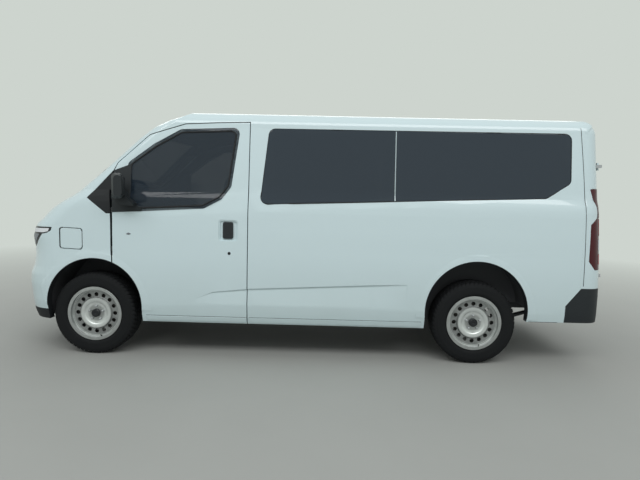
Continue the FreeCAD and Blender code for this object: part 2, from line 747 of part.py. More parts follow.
front_void = arch(arch_front_x, arch_front_z, house_front + sheet_t, house_front_y, far)
rear_void = arch(rear_x, arch_rear_z, house_rear + sheet_t, house_rear_y, far)
voids = [front_void, mirrored(front_void), rear_void, mirrored(rear_void)]
door_end = b_x - gap
rear_floor = hollow.common(block(-2320, door_end, -far, far, floor_low, floor_z))
front_floor = clear_hollow.common(block(door_end, 1600, -far, far, floor_low, floor_z))
sill = clear_hollow.common(block(-870, 1200, 740, far, 310, floor_low))
toe_board = hollow.common(block(1600, 1612, -far, far, floor_low, hood_z))
add("floor_pan", rear_floor.fuse([front_floor, toe_board]).cut(voids))

# Chassis rails and sills
rail_y = size("rail_y")
half_rail = size("rail_width") / 2
rail_low = floor_low - size("rail_depth")
inner_rail = rail_y - half_rail
rail_side = rail_y + half_rail
spring_y = size("spring_y")
front_rail = hollow.common(block(880, 2500, inner_rail, rail_side, rail_low, floor_low))
rail_zone = block(-2500, -640, spring_y - half_rail, spring_y + half_rail, rail_low, floor_low)
rear_rail = hollow.common(rail_zone)
rails = [front_rail, mirrored(front_rail), rear_rail, mirrored(rear_rail), sill, mirrored(sill)]
add("chassis_rails", Part.makeCompound(rails))



def bound(kind, name, formulas):
    """A Part primitive whose sizes and place follow the sheet."""
    made = doc.addObject(kind, name)
    for key, formula in formulas.items():
        made.setExpression(key, formula)
    return made


def rounded_case(label, formulas):
    """A bound box with every edge rounded by the case radius."""
    case = bound("Part::Box", f"{label}_block", formulas)
    doc.recompute()
    rounded = doc.addObject("Part::Fillet", label)
    rounded.Base = case
    radius = size("case_round")
    rounded.Edges = [(edge + 1, radius, radius) for edge in range(len(case.Shape.Edges))]
    rounded.Label = label
    NODES.append(rounded)


# Battery case under the floor and drive unit over the front axle
rounded_case("battery_pack", {
    "Length": "Sizes.battery_length",
    "Width": "Sizes.battery_width",
    "Height": "Sizes.battery_height",
    "Placement.Base.x": "Sizes.battery_rear_x",
    "Placement.Base.y": "-Sizes.battery_width / 2",
    "Placement.Base.z": "Sizes.floor_top - Sizes.floor_thick - Sizes.battery_height",
})
rounded_case("drive_unit", {
    "Length": "Sizes.motor_length",
    "Width": "Sizes.motor_width",
    "Height": "Sizes.motor_height",
    "Placement.Base.x": "Sizes.motor_x",
    "Placement.Base.y": "-Sizes.motor_width / 2",
    "Placement.Base.z": "Sizes.motor_foot",
})

# Front arms, knuckles
king_y = size("kingpin_y")
king_r = size("kingpin_radius")
arm_low = axle_z - 120
arm_high = axle_z + 120


def eye_arm(z, root_y):
    """One suspension arm from its root to an eye round the kingpin."""
    plate = block(front_x - 30, front_x + 30, root_y, king_y, z - 12, z + 12)
    eye = rod(king_r + 20, Vector(front_x, king_y, z - 12), Vector(front_x, king_y, z + 12))
    hole = rod(king_r + play, Vector(front_x, king_y, z - 20), Vector(front_x, king_y, z + 20))
    return plate.fuse(eye).cut(hole)


lower_arm = eye_arm(arm_low, inner_rail)
upper_arm = eye_arm(arm_high, rail_side)
arms = [lower_arm, upper_arm]
add("suspension_arms", Part.makeCompound(arms + [mirrored(arm) for arm in arms]))

upright = block(front_x - 34, front_x + 34, king_y - 18, king_y + 18, arm_low + 24, arm_high - 24)
kingpin = rod(king_r, Vector(front_x, king_y, arm_low - 20), Vector(front_x, king_y, arm_high + 20))
spindle_tip = Vector(front_x, size("spindle_tip_y"), axle_z)
spindle = rod(size("spindle_radius"), Vector(front_x, king_y, axle_z), spindle_tip)
steer_arm = block(front_x - 140, front_x - 30, king_y - 18, king_y - 2, axle_z - 44, axle_z - 20)
knuckle = upright.fuse([kingpin, spindle, steer_arm]).removeSplitter()
add("knuckle_left", knuckle)
add("knuckle_right", mirrored(knuckle))

# Rear axle on leaf springs


def cross_bar(name, radius, reach):
    """A bound cylinder across the vehicle on the rear axle's line; radius and reach name two sizes."""
    bar = doc.addObject("Part::Cylinder", name)
    bar.Placement.Rotation = FreeCAD.Rotation(Vector(1, 0, 0), -90)
    bar.setExpression("Radius", f"Sizes.{radius}")
    bar.setExpression("Height", f"2 * Sizes.{reach}")
    bar.setExpression("Placement.Base.x", "Sizes.rear_axle_x")
    bar.setExpression("Placement.Base.y", f"-Sizes.{reach}")
    bar.setExpression("Placement.Base.z", "Sizes.axle_height")
    return bar


rear_axle = doc.addObject("Part::MultiFuse", "rear_axle")
rear_axle.Shapes = [
    cross_bar("axle_tube", "axle_tube", "axle_tube_half"),
    cross_bar("axle_stubs", "spindle_radius", "spindle_tip_y"),
]
rear_axle.Refine = True
rear_axle.Label = "rear_axle"
NODES.append(rear_axle)

half_leaf = size("spring_width") / 2
seat_z = axle_z - size("axle_tube")
eye_r = 16
eye_z = rail_low - eye_r
reach = 600


def spring_face(y):
    """The side outline of a bowed spring, thick in the middle and thin at its eyes."""
    top_left = Vector(rear_x - reach, y, eye_z)
    top_right = Vector(rear_x + reach, y, eye_z)
    low_left = Vector(rear_x - reach, y, eye_z - size("leaf_thick"))
    low_right = Vector(rear_x + reach, y, eye_z - size("leaf_thick"))
    return Part.Face(Part.Wire([
        Part.Arc(top_left, Vector(rear_x, y, seat_z), top_right).toShape(),
        Part.LineSegment(top_right, low_right).toShape(),
        Part.Arc(low_right, Vector(rear_x, y, seat_z - 3 * size("leaf_thick")), low_left).toShape(),
        Part.LineSegment(low_left, top_left).toShape(),
    ]))


spring = spring_face(spring_y - half_leaf).extrude(Vector(0, 2 * half_leaf, 0))
for x in (rear_x - reach, rear_x + reach):
    eye_foot = Vector(x, spring_y - half_leaf, eye_z)
    spring = spring.fuse(rod(eye_r, eye_foot, eye_foot + Vector(0, 2 * half_leaf, 0)))
add("leaf_springs", both(spring.removeSplitter()))

# Wheels
tyre_r = size("tyre_radius")
half_tyre = size("tyre_width") / 2
bead = size("bead_radius")
half_rim = size("rim_width") / 2
flange = size("flange_radius")
metal = size("rim_sheet")
wheel_y = size("wheel_y")


def turned(points):
    """A ring turned about the wheel's axis; the points are along and out from the axis."""
    wire = Part.makePolygon([Vector(0, a, r) for a, r in points + points[:1]])
    return Part.Face(wire).revolve(Vector(0, 0, 0), Vector(0, 1, 0), 360)


def tyre():
    outer = [
        (half_rim - metal, bead),
        (half_rim - metal, flange + 4),
        (half_tyre - 1, 248),
        (half_tyre, 272),
        (half_tyre - 4, 300),
        (half_tyre - 14, 322),
        (half_tyre - 26, tyre_r - 2),
        (half_tyre - 60, tyre_r),
    ]
    inner = [
        (half_tyre - 22, tyre_r - 16),
        (half_tyre - 10, 285),
        (half_tyre - 10, 250),
        (half_rim - 20, bead),
    ]
    right = outer + [(-a, r) for a, r in reversed(outer)]
    hollow_side = [(-a, r) for a, r in reversed(inner)] + inner
    return turned(right + hollow_side)


def rim():
    disc = half_rim - size("disc_inset")
    bore = size("hub_bore")
    rise = size("hub_rise")
    dish = size("hub_dish")
    profile = [
        (-half_rim, flange),
        (-half_rim + metal, flange),
        (-half_rim + metal, bead),
        (-40, bead),
        (-30, bead - 22),
        (30, bead - 22),
        (40, bead),
        (half_rim - metal, bead),
        (half_rim - metal, flange),
        (half_rim, flange),
        (half_rim, bead - metal),
        (disc + 4, bead - metal),
        (disc, 180),
        (disc, 134),
        (disc + rise, 124),
        (disc + rise, 100),
        (disc + rise - dish, 84),
        (disc + rise - dish, bore),
        (disc + rise - dish - metal, bore),
        (disc + rise - dish - metal, 86),
        (disc + rise - metal, 103),
        (disc + rise - metal, 120),
        (disc - metal, 131),
        (disc - metal, bead - metal),
        (44, bead - metal),
        (34, bead - 22 - metal),
        (-34, bead - 22 - metal),
        (-44, bead - metal),
        (-half_rim, bead - metal),
    ]
    body = turned(profile)
    vents = []
    for index in range(int(size("vent_holes"))):
        angle = 2 * math.pi * index / size("vent_holes")
        x = size("vent_circle") * math.sin(angle)
        z = size("vent_circle") * math.cos(angle)
        vents.append(rod(size("vent_radius"), Vector(x, disc - 30, z), Vector(x, disc + 30, z)))
    for index in range(int(size("bolts"))):
        angle = 2 * math.pi * index / size("bolts")
        x = size("bolt_circle") * math.sin(angle)
        z = size("bolt_circle") * math.cos(angle)
        vents.append(rod(size("bolt_hole"), Vector(x, disc - 30, z), Vector(x, disc + 30, z)))
    return body.cut(vents)


tyre_left = tyre()
rim_left = rim()
CORNERS = [
    ("front_left", front_x, 1),
    ("front_right", front_x, -1),
    ("rear_left", rear_x, 1),
    ("rear_right", rear_x, -1),
]
for corner, x, way in CORNERS:
    spot = Vector(x, way * wheel_y, axle_z)
    add(f"tyre_{corner}", tyre_left if way > 0 else mirrored(tyre_left), spot)
    add(f"rim_{corner}", rim_left if way > 0 else mirrored(rim_left), spot)

# Cabin: dashboard, steering wheel and seats
DASH = [(1600, 1325), (1450, 1300), (1340, 1235), (1310, 1040), (1360, 960), (1600, 960)]
dash_half = size("door_hinge_y") - size("dash_inset")
dash = side_prism(DASH, -dash_half, dash_half).common(clear_hollow)
add("dashboard", dash)
wheel_c = Vector(1175, 380, 1180)
tilt = Vector(-math.cos(math.radians(32)), 0, math.sin(math.radians(32)))
ring = Part.makeTorus(180, 13, wheel_c, tilt)
hub = rod(45, wheel_c - tilt * 40, wheel_c - tilt * 5)
spoke_left = rod(11, wheel_c - tilt * 20, wheel_c + Vector(0, 172, 0))
spoke_right = rod(11, wheel_c - tilt * 20, wheel_c - Vector(0, 172, 0))
shaft = rod(26, wheel_c - tilt * 30, wheel_c - tilt * 300).cut(dash)
shaft = min(shaft.Solids, key=lambda s: s.BoundBox.XMin)
add("steering_wheel", ring.fuse([hub, spoke_left, spoke_right, shaft]).removeSplitter())

# Columns: hip X, middle Y, width
SEATS = [
    (1180, -420, 480),
    (1180, 420, 480),
    (150, -510, 440),
    (150, 0, 440),
    (150, 510, 440),
    (-700, -390, 370),
    (-700, 0, 370),
    (-700, 390, 370),
]
HEAD_REST = [(-512, 1502), (-536, 1640), (-606, 1646), (-596, 1500)]
seats = []
for x, y, width in SEATS:
    profile = [
        (x - 60, floor_z),
        (x - 60, 780),
        (x + 4, 822),
        (x - 16, 912),
        (x - 380, 880),
        (x - 492, 1466),
        (x - 610, 1466),
        (x - 500, 860),
        (x - 430, 780),
        (x - 430, floor_z),
    ]
    seat = side_prism(profile, y - width / 2, y + width / 2, 20)
    rest = side_prism([(x + back, z) for back, z in HEAD_REST], y - 125, y + 125, 24)
    posts = [
        rod(7, Vector(x - 550, y + off, 1440), Vector(x - 556, y + off, 1520)) for off in (-60, 60)
    ]
    seats.append(seat.fuse([rest] + posts))
add("seats", Part.makeCompound(seats))

# Door mirrors: a housing lofted outward on a swept arm, and a sail over the window's front corner
MIRROR_SECTIONS = [
    (930, 1447, 40, 72),
    (985, 1430, 46, 92),
    (1060, 1400, 44, 96),
    (1112, 1376, 32, 78),
]
mirror_z = 1368
housing_wires = []
for y, x, half_deep, half_tall in MIRROR_SECTIONS:
    corners = [(x - half_deep, mirror_z - half_tall), (x + half_deep, mirror_z - half_tall)]
    corners += [(x + half_deep, mirror_z + half_tall), (x - half_deep, mirror_z + half_tall)]
    face = outline(corners, 30, lambda p: Vector(p.x, y, p.y))
    housing_wires.append(face.OuterWire)
housing = Part.makeLoft(housing_wires, True, True)
ARM = [(1484, 1336), (1404, 1336), (1376, 1282), (1296, 1216), (1420, 1222), (1490, 1272)]
arm = side_prism(ARM, 800, 966, 12)
sail_form = body_form(-size("sail_thick"), 0)
SAIL = [(1718, 1273), (1574, 1160), (1282, 1176), (1282, 1196), (1378, 1262), (1378, 1548), (1532, 1488)]
sail_zone = side_prism(SAIL, 0, far, 8)
sail = sail_form.common(sail_zone).cut([skin, block(door_x - gap, 2000, 0, far, 1000, 1700)])
sail = max(sail.Solids, key=lambda s: s.Volume)
arm = arm.cut(skin)
arm = max(arm.Solids, key=lambda s: s.Volume)
mirror_left = sail.fuse([housing, arm]).removeSplitter()
add("mirror_left", mirror_left)
add("mirror_right", mirrored(mirror_left))

doc.recompute()
os.makedirs("parts", exist_ok=True)
for part in NODES:
    if {"Invalid", "Error"} & set(part.State):
        raise RuntimeError(f"{part.Label} did not compute")
    if part.Shape.isNull() or not part.Shape.isValid() or not part.Shape.Solids:
        raise RuntimeError(f"{part.Label} has no sound solid")
    part.Shape.exportStep(f"parts/{part.Label}.step")
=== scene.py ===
# %% [markdown]
# # A small white minibus
# This lesson dresses a jointed model of a minibus. The model brings its panels, doors and wheels as
# plain solids in metres: front at +X, the left side at +Y, the ground at Z = 0. Each cell adds one
# finish or one kind of piece, measured from those solids, so that it moves with the door, wheel or hood
# that carries it.

# %% Tools and the model
import math
from itertools import product

import bmesh
import bpy
from mathutils import Matrix, Vector
from mathutils.bvhtree import BVHTree


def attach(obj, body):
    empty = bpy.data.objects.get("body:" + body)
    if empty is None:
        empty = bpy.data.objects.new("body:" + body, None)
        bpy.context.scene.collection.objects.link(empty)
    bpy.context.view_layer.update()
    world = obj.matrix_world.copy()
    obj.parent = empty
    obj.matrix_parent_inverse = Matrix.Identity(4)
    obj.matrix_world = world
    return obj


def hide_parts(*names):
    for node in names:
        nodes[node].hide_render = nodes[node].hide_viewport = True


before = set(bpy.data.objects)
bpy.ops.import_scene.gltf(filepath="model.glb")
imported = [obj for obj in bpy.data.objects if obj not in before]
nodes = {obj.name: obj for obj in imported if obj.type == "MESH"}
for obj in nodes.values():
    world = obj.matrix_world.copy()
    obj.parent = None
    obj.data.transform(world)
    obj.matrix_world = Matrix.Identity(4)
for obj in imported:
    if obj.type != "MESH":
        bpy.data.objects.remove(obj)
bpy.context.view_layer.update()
print("solids loaded:", len(nodes))

# %% [markdown]
# The camera stands less than five metres from the middle of the vehicle, a little above the waistline
# and turned slightly down. Its place and turn came from lining up the roof, the sill and both wheels
# with the photograph. A camera looks along its own -Z axis, so the three columns of its matrix are
# right, up and backwards.

# %% Camera
CAMERA_SPOT = Vector((-0.1755, 4.6856, 1.2960))
CAMERA_YAW = 0.012
CAMERA_PITCH = 0.0826
CAMERA_ROLL = 0.0231
FOCAL_PIXELS = 483.0
PICTURE_WIDTH = 640
SENSOR = 36.0

camera_data = bpy.data.cameras.new("camera")
camera_data.sensor_width = SENSOR
camera_data.lens = FOCAL_PIXELS / PICTURE_WIDTH * SENSOR
camera = bpy.data.objects.new("camera", camera_data)
bpy.context.scene.collection.objects.link(camera)
facing_side = Matrix(((-1, 0, 0), (0, 0, 1), (0, 1, 0))).to_4x4()
camera.matrix_world = (
    Matrix.Translation(CAMERA_SPOT)
    @ Matrix.Rotation(CAMERA_YAW, 4, "Z")
    @ facing_side
    @ Matrix.Rotation(-CAMERA_PITCH, 4, "X")
    @ Matrix.Rotation(CAMERA_ROLL, 4, "Z")
)
bpy.context.scene.camera = camera
bpy.context.scene.view_settings.view_transform = "Standard"
print("camera lens in mm:", round(camera_data.lens, 2))

# %% [markdown]
# Shader nodes can be wired by hand, but sums of masks soon fill the screen. Here a small class wraps
# one output, so that `1 - mask` or `grain * 0.2` adds its own Math node, and one method adds every
# other node.

# %% Shader maths


class Signal:
    """One output of a finish's nodes; arithmetic on it adds Math nodes."""

    def __init__(self, finish, output):
        self.finish = finish
        self.output = output

    def math(self, operation, *values):
        return self.finish.node("ShaderNodeMath", {"operation": operation}, dict(enumerate(values)))

    def larger(self, other):
        return self.math("MAXIMUM", self, other)

    def __add__(self, other):
        return self.math("ADD", self, other)

    def __radd__(self, other):
        return self.math("ADD", other, self)

    def __sub__(self, other):
        return self.math("SUBTRACT", self, other)

    def __rsub__(self, other):
        return self.math("SUBTRACT", other, self)

    def __mul__(self, other):
        return self.math("MULTIPLY", self, other)

    def __rmul__(self, other):
        return self.math("MULTIPLY", other, self)

    def above(self, level, blur=0.002):
        """1 where the value is above a level, 0 below it, with a short soft step."""
        sockets = {"Value": self, "From Min": level - blur, "From Max": level + blur}
        return self.finish.node("ShaderNodeMapRange", {"interpolation_type": "SMOOTHSTEP"}, sockets)

    def below(self, level, blur=0.002):
        return 1 - self.above(level, blur)


print("shader maths ready")

# %% [markdown]
# A finish is one material, named for what it stands for on the vehicle, with the slot of the parts
# record that it belongs to. Building every finish round one Principled shader keeps them alike, and
# short methods add the nodes that most of them need. Patterns are placed by the object's own
# coordinates, so they ride along when a door swings or a wheel turns. Colours are written as a screen
# shows them, since that is how an eye picks them.

# %% Colours and finishes


def shaded(color, share):
    """The same colour, darker or lighter by a share of itself."""
    return (*(min(1.0, channel * share) for channel in color[:3]), 1.0)


def linear(red, green, blue):
    """A colour seen on a screen, 0 to 255, as the linear value that a shader takes."""
    channels = []
    for value in (red, green, blue):
        share = value / 255
        channels.append(share / 12.92 if share <= 0.04045 else ((share + 0.055) / 1.055) ** 2.4)
    return (*channels, 1.0)


class Finish:
    """A material built round one Principled shader, with the slot it belongs to."""

    def __init__(self, name, slot, **constants):
        self.slot = slot
        self.material = bpy.data.materials.new(name)
        self.material.use_nodes = True
        self.tree = self.material.node_tree
        self.shader = self.tree.nodes["Principled BSDF"]
        for key, value in constants.items():
            self.set(key.replace("_", " ").title().replace("Ior", "IOR"), value)

    def set(self, socket, value):
        self.feed(self.shader.inputs[socket], value)

    def feed(self, target, value):
        if isinstance(value, Signal):
            self.tree.links.new(value.output, target)
        else:
            target.default_value = value

    def node(self, kind, settings=None, sockets=None, output=0):
        """Any node: its kind, its settings, what its sockets take, and the output to use."""
        made = self.tree.nodes.new(kind)
        for key, value in (settings or {}).items():
            setattr(made, key, value)
        for key, value in (sockets or {}).items():
            self.feed(made.inputs[key], value)
        return Signal(self, made.outputs[output])

    def place(self):
        """The spot on the object in its own coordinates, which ride along when it moves."""
        return self.node("ShaderNodeTexCoord", output="Object")

    def axis(self, letter):
        return self.node("ShaderNodeSeparateXYZ", sockets={0: self.place()}, output=letter)

    def facing(self, letter):
        """One part of the direction that the surface looks in, in the object's own axes."""
        normal = self.node("ShaderNodeTexCoord", output="Normal")
        return self.node("ShaderNodeSeparateXYZ", sockets={0: normal}, output=letter)

    def noise(self, scale, detail=3.0, rough=0.5):
        sockets = {"Vector": self.place(), "Scale": scale, "Detail": detail, "Roughness": rough}
        return self.node("ShaderNodeTexNoise", sockets=sockets)

    def cells(self, scale):
        return self.node("ShaderNodeTexVoronoi", sockets={"Vector": self.place(), "Scale": scale})

    def mix(self, share, first, second):
        sockets = {0: share, 6: first, 7: second}
        return self.node("ShaderNodeMix", {"data_type": "RGBA"}, sockets, output=2)

    def away_from(self, middle_x, middle_z):
        """The distance from a line that runs across the vehicle."""
        off_x = self.axis("X") - middle_x
        off_z = self.axis("Z") - middle_z
        return off_x.math("SQRT", off_x * off_x + off_z * off_z)

    def bump(self, height, strength, distance):
        sockets = {"Strength": strength, "Distance": distance, "Height": height}
        self.set("Normal", self.node("ShaderNodeBump", sockets=sockets))


print("a middle grey of 128 as a linear value:", round(linear(128, 128, 128)[0], 4))

# %% [markdown]
# White vehicle paint is a matt white base under a clear, glossy coat. The base is barely uneven, it
# turns darker and greener towards the bottom in uneven patches, and the coat has the faint ripple that
# painters call orange peel. A Principled shader has a coat of its own, which a plain glossy white
# lacks, so the finish uses that.
# The lips inside the wheel arches and the lower lip of the front bumper are bare black, so the finish
# masks them by their place: a distance from the middle of each arch, and a height ahead of the front
# wheel. The corner ahead of the mirror is black too, between one line that rises and one that falls.
# Faces that look into the cabin wear a grey lining instead, found where the face's direction points
# against its own place.

# %% Paint
PAINT_WHITE = linear(212, 231, 235)
# A darker, greener colour that the paint turns towards the bottom
PAINT_LOW = linear(192, 209, 209)
# Bare black of the lips; also the colour of the painted shade in the groove of the wheels
BARE_LIP_AND_GROOVE_SHADE = linear(28, 31, 34)
LINING = linear(58, 62, 66)
HEADLINING = linear(120, 124, 124)
# Middle of each arch along and above the ground, and its radius
ARCHES = ((1.672, 0.412, 0.3835), (-1.385, 0.433, 0.4085))
NOSE_LIP = (1.95, 0.372)
DARKER_BELOW = 0.62
DARKER_FADE = 0.3
LINED_SIDE = -0.30
LINED_END = -1.2
CEILING_START = 1.75
SAIL_BACK = 1.52
SAIL_TIP = (1.722, 1.274)
SAIL_FOOT = 1.152
SAIL_RISE = 0.7945
SAIL_FALL = 1.111


def body_paint():
    finish = Finish("white_paint", "body_paint", coat_roughness=0.03, ior=1.45)
    length = finish.axis("X")
    height = finish.axis("Z")
    # Darker and greener towards the bottom, in uneven patches
    darker_low = height.below(DARKER_BELOW, DARKER_FADE) * finish.noise(2.2, 5) * 0.55
    bare = length.above(NOSE_LIP[0], 0.001) * height.below(NOSE_LIP[1], 0.001)
    for middle_x, middle_z, radius in ARCHES:
        bare = bare.larger(finish.away_from(middle_x, middle_z).below(radius, 0.0005))
    ahead = length - SAIL_TIP[0]
    over = (height - ahead * SAIL_RISE).above(SAIL_TIP[1], 0.001) * height.above(SAIL_FOOT, 0.001)
    under = (height + ahead * SAIL_FALL).below(SAIL_TIP[1], 0.001) * length.above(SAIL_BACK, 0.001)
    bare = bare.larger(over * under)
    facing = {letter: finish.facing(letter) for letter in "XYZ"}
    lined = (facing["Y"] * finish.axis("Y")).below(LINED_SIDE, 0.03)
    lined = lined.larger((facing["X"] * length).below(LINED_END, 0.1))
    ceiling = facing["Z"].below(-0.5, 0.05) * height.above(CEILING_START, 0.01)
    painted = finish.mix(darker_low, PAINT_WHITE, PAINT_LOW)
    painted = finish.mix(lined, painted, LINING)
    painted = finish.mix(ceiling, painted, HEADLINING)
    finish.set("Base Color", finish.mix(bare, painted, BARE_LIP_AND_GROOVE_SHADE))
    matt = bare.larger(lined.larger(ceiling))
    finish.set("Roughness", finish.noise(3.0) * 0.1 + 0.36 + matt * 0.25)
    finish.set("Coat Weight", 1 - matt)
    finish.bump(finish.noise(160, 1), 0.02, 0.002)
    return finish


paint = body_paint()
print("finish:", paint.material.name)

# %% [markdown]
# Bumpers, mirrors, wiper arms and trim are unpainted plastic, moulded against an etched tool. The
# etching is a field of tiny cells, so a Voronoi bump gives the grain, and a slow noise makes the sheen
# uneven. The liners of the wheel arches are the same plastic under dry dust, so they are greyer and
# duller.

# %% Black plastics


def moulded_plastic(name, slot, color, grain, rough):
    finish = Finish(name, slot, ior=1.48)
    blotch = finish.noise(14, 4)
    finish.set("Base Color", finish.mix(blotch * 0.6, color, shaded(color, 1.35)))
    finish.set("Roughness", blotch * 0.12 + rough)
    finish.bump(finish.cells(grain), 0.25, 0.0004)
    return finish


black_plastic = moulded_plastic("black_plastic", "black_plastic", linear(25, 31, 35), 900, 0.5)
arch_liner = moulded_plastic("arch_liner", "black_plastic", linear(66, 68, 71), 500, 0.7)
gloss_black = moulded_plastic("gloss_black", "black_plastic", linear(26, 29, 33), 300, 0.16)
cabin_plastic = moulded_plastic("cabin_plastic", "cabin_plastic", linear(52, 54, 58), 1100, 0.55)
lamp_black = moulded_plastic("lamp_housing", "headlamp", linear(20, 22, 25), 500, 0.12)
rubber_seal = moulded_plastic("rubber_seal", "black_plastic", linear(22, 24, 26), 700, 0.62)
print("materials so far:", len(bpy.data.materials))

# %% [markdown]
# The windows are tinted: the passengers' panes are nearly black, and the windshield and front doors are
# clearer. True refraction through two thin faces is slow and dark, so the glass is a dark, glossy sheet
# that lets part of the light straight through, and the tint changes where the passenger compartment
# starts. Bonded panes have a black ceramic border, printed on their inner face.

# %% Glass
GLASS_TINT = linear(46, 57, 68)
TINT_START = 0.9
REAR_TINT = 0.93
BORDER_LEAN = 0.148
BORDER_SIDE = 0.868
BORDER_FOOT = 1.445
BORDER_TOP = 1.845


def tinted_glass(name, alpha, border=None):
    finish = Finish(name, "glass", roughness=0.02, ior=1.5)
    finish.set("Base Color", GLASS_TINT)
    share = alpha
    if border is not None:
        share = border(finish, alpha)
    finish.set("Alpha", share)
    finish.material.surface_render_method = "BLENDED"
    return finish


def windshield_border(finish, alpha):
    """Privacy glass behind the doors; a clear windshield with a dark printed border in front."""
    front = finish.axis("X").above(TINT_START, 0.01)
    height = finish.axis("Z")
    width = finish.node("ShaderNodeMath", {"operation": "ABSOLUTE"}, {0: finish.axis("Y")})
    inside = (width + height * BORDER_LEAN).below(BORDER_SIDE, 0.004)
    edge = 1 - inside * height.above(BORDER_FOOT, 0.006) * height.below(BORDER_TOP, 0.006)
    clear = edge * (1 - alpha) + alpha
    return front * clear + (1 - front) * REAR_TINT


door_glass = tinted_glass("door_glass", 0.64)
fixed_glass = tinted_glass("fixed_glass", 0.68, windshield_border)
tail_glass = tinted_glass("tail_glass", 0.9)
print("materials so far:", len(bpy.data.materials))

# %% [markdown]
# Tyre rubber is a dark grey that is never quite black, with a bloom of dust. The steel wheels are
# stamped, then sprayed silver: a metal flake paint, so it is only partly metallic. Brake dust and
# painted shade darken the ring that holds the vents and dull the lip and the middle, and painted shade
# darkens the groove that parts the lip from the disc. Every ring is found by its distance from the
# nearer axle.

# %% Rubber and metals
TYRE_GREY = linear(15, 17, 20)
TYRE_DUST = linear(30, 32, 33)
WHEEL_SILVER = linear(228, 232, 231)
WHEEL_SHADE = linear(198, 202, 201)
# Brake dust and painted shade: the darker colour of the vent ring, the lip and the middle
WHEEL_DUST_AND_SHADE = linear(112, 114, 114)
VENT_RING = (0.122, 0.186)
NAVE_RING = (0.036, 0.066)
LIP_START = 0.194
LIP_GROOVE = (0.1885, 0.1915)
AXLE_HEIGHT = 0.334
AXLES = (1.690, -1.385)


def tyre_rubber():
    finish = Finish("tyre_rubber", "tyre_rubber", specular_ior_level=0.25)
    dust = finish.noise(9, 6, 0.6)
    finish.set("Base Color", finish.mix(dust * 0.7, TYRE_GREY, TYRE_DUST))
    finish.set("Roughness", dust * 0.2 + 0.66)
    finish.bump(finish.noise(420, 2), 0.2, 0.0006)
    return finish


def wheel_silver():
    finish = Finish("wheel_silver", "wheel_steel", metallic=0.8, coat_weight=0.3, coat_roughness=0.1)
    flake = finish.cells(1500)
    wear = finish.noise(18, 5)
    front, rear = (finish.away_from(axle, AXLE_HEIGHT) for axle in AXLES)
    reach = front.math("MINIMUM", front, rear)
    # Brake dust and painted shade darken the vent ring, the lip and the middle
    vent_dust_and_shade = reach.above(VENT_RING[0], 0.008) * reach.below(VENT_RING[1], 0.006)
    lip = reach.above(LIP_START, 0.003)
    nave = reach.above(NAVE_RING[0], 0.004) * reach.below(NAVE_RING[1], 0.010)
    # Painted shade in the groove between the lip and the disc
    groove = reach.above(LIP_GROOVE[0], 0.001) * reach.below(LIP_GROOVE[1], 0.001)
    dust_and_shade = vent_dust_and_shade.larger((lip * 0.62).larger(nave * 0.75))
    clean = finish.mix(wear * 0.5, WHEEL_SILVER, WHEEL_SHADE)
    darkened_silver = finish.mix(dust_and_shade * (wear * 0.5 + 0.5), clean, WHEEL_DUST_AND_SHADE)
    finish.set("Base Color", finish.mix(groove * 0.8, darkened_silver, BARE_LIP_AND_GROOVE_SHADE))
    finish.set("Roughness", wear * 0.15 + 0.28 + vent_dust_and_shade * 0.15)
    finish.bump(flake, 0.08, 0.0003)
    return finish


def coated_steel(name, slot, color, rough, metal):
    finish = Finish(name, slot, metallic=metal)
    stain = finish.noise(11, 6, 0.65)
    finish.set("Base Color", finish.mix(stain, color, shaded(color, 0.55)))
    finish.set("Roughness", stain * 0.25 + rough)
    finish.bump(finish.noise(220, 3), 0.25, 0.0008)
    return finish


rubber = tyre_rubber()
silver = wheel_silver()
floor_steel = coated_steel("underbody_steel", "floor_steel", linear(62, 65, 68), 0.5, 0.3)
brake_steel = coated_steel("brake_steel", "floor_steel", linear(110, 108, 104), 0.35, 0.8)
battery_case = coated_steel("battery_case", "battery_case", linear(74, 78, 82), 0.45, 0.5)
hinge_steel = coated_steel("hinge_steel", "hinge_steel", linear(200, 204, 206), 0.35, 0.4)
print("materials so far:", len(bpy.data.materials))

# %% [markdown]
# The seats wear a flat woven cloth. Two crossed wave textures make the over and under of the threads,
# and the same pattern drives both the colour and the bump, so that the threads agree.

# %% Seat cloth
CLOTH_DARK = linear(44, 46, 50)
CLOTH_LIGHT = linear(68, 70, 75)
THREADS = 190


def seat_cloth():
    finish = Finish("seat_cloth", "seat_fabric", sheen_weight=0.25, sheen_roughness=0.5)
    across = {"Vector": finish.place(), "Scale": THREADS, "Distortion": 0.4}
    one_way = finish.node("ShaderNodeTexWave", {"bands_direction": "Y"}, across)
    other_way = finish.node("ShaderNodeTexWave", {"bands_direction": "Z"}, across)
    weave = one_way * 0.5 + other_way * 0.5
    finish.set("Base Color", finish.mix(weave * finish.noise(40, 4), CLOTH_DARK, CLOTH_LIGHT))
    finish.set("Roughness", weave * 0.1 + 0.82)
    finish.bump(weave, 0.2, 0.0005)
    return finish


cloth = seat_cloth()
print("finish:", cloth.material.name)

# %% [markdown]
# Lamps are clear or red plastic over a bright reflector. Upright flutes, moulded in the red lens, catch
# the light in thin lines, and a wave bump draws them without cutting hundreds of grooves.

# %% Lamp finishes


def lamp_lens(name, slot, color, rough, flutes):
    finish = Finish(name, slot, roughness=rough, specular_ior_level=0.35)
    finish.set("Base Color", finish.mix(finish.noise(30, 2) * 0.3, color, shaded(color, 0.7)))
    sockets = {"Vector": finish.place(), "Scale": flutes}
    waves = finish.node("ShaderNodeTexWave", {"bands_direction": "Y"}, sockets)
    finish.bump(waves, 0.3, 0.001)
    return finish


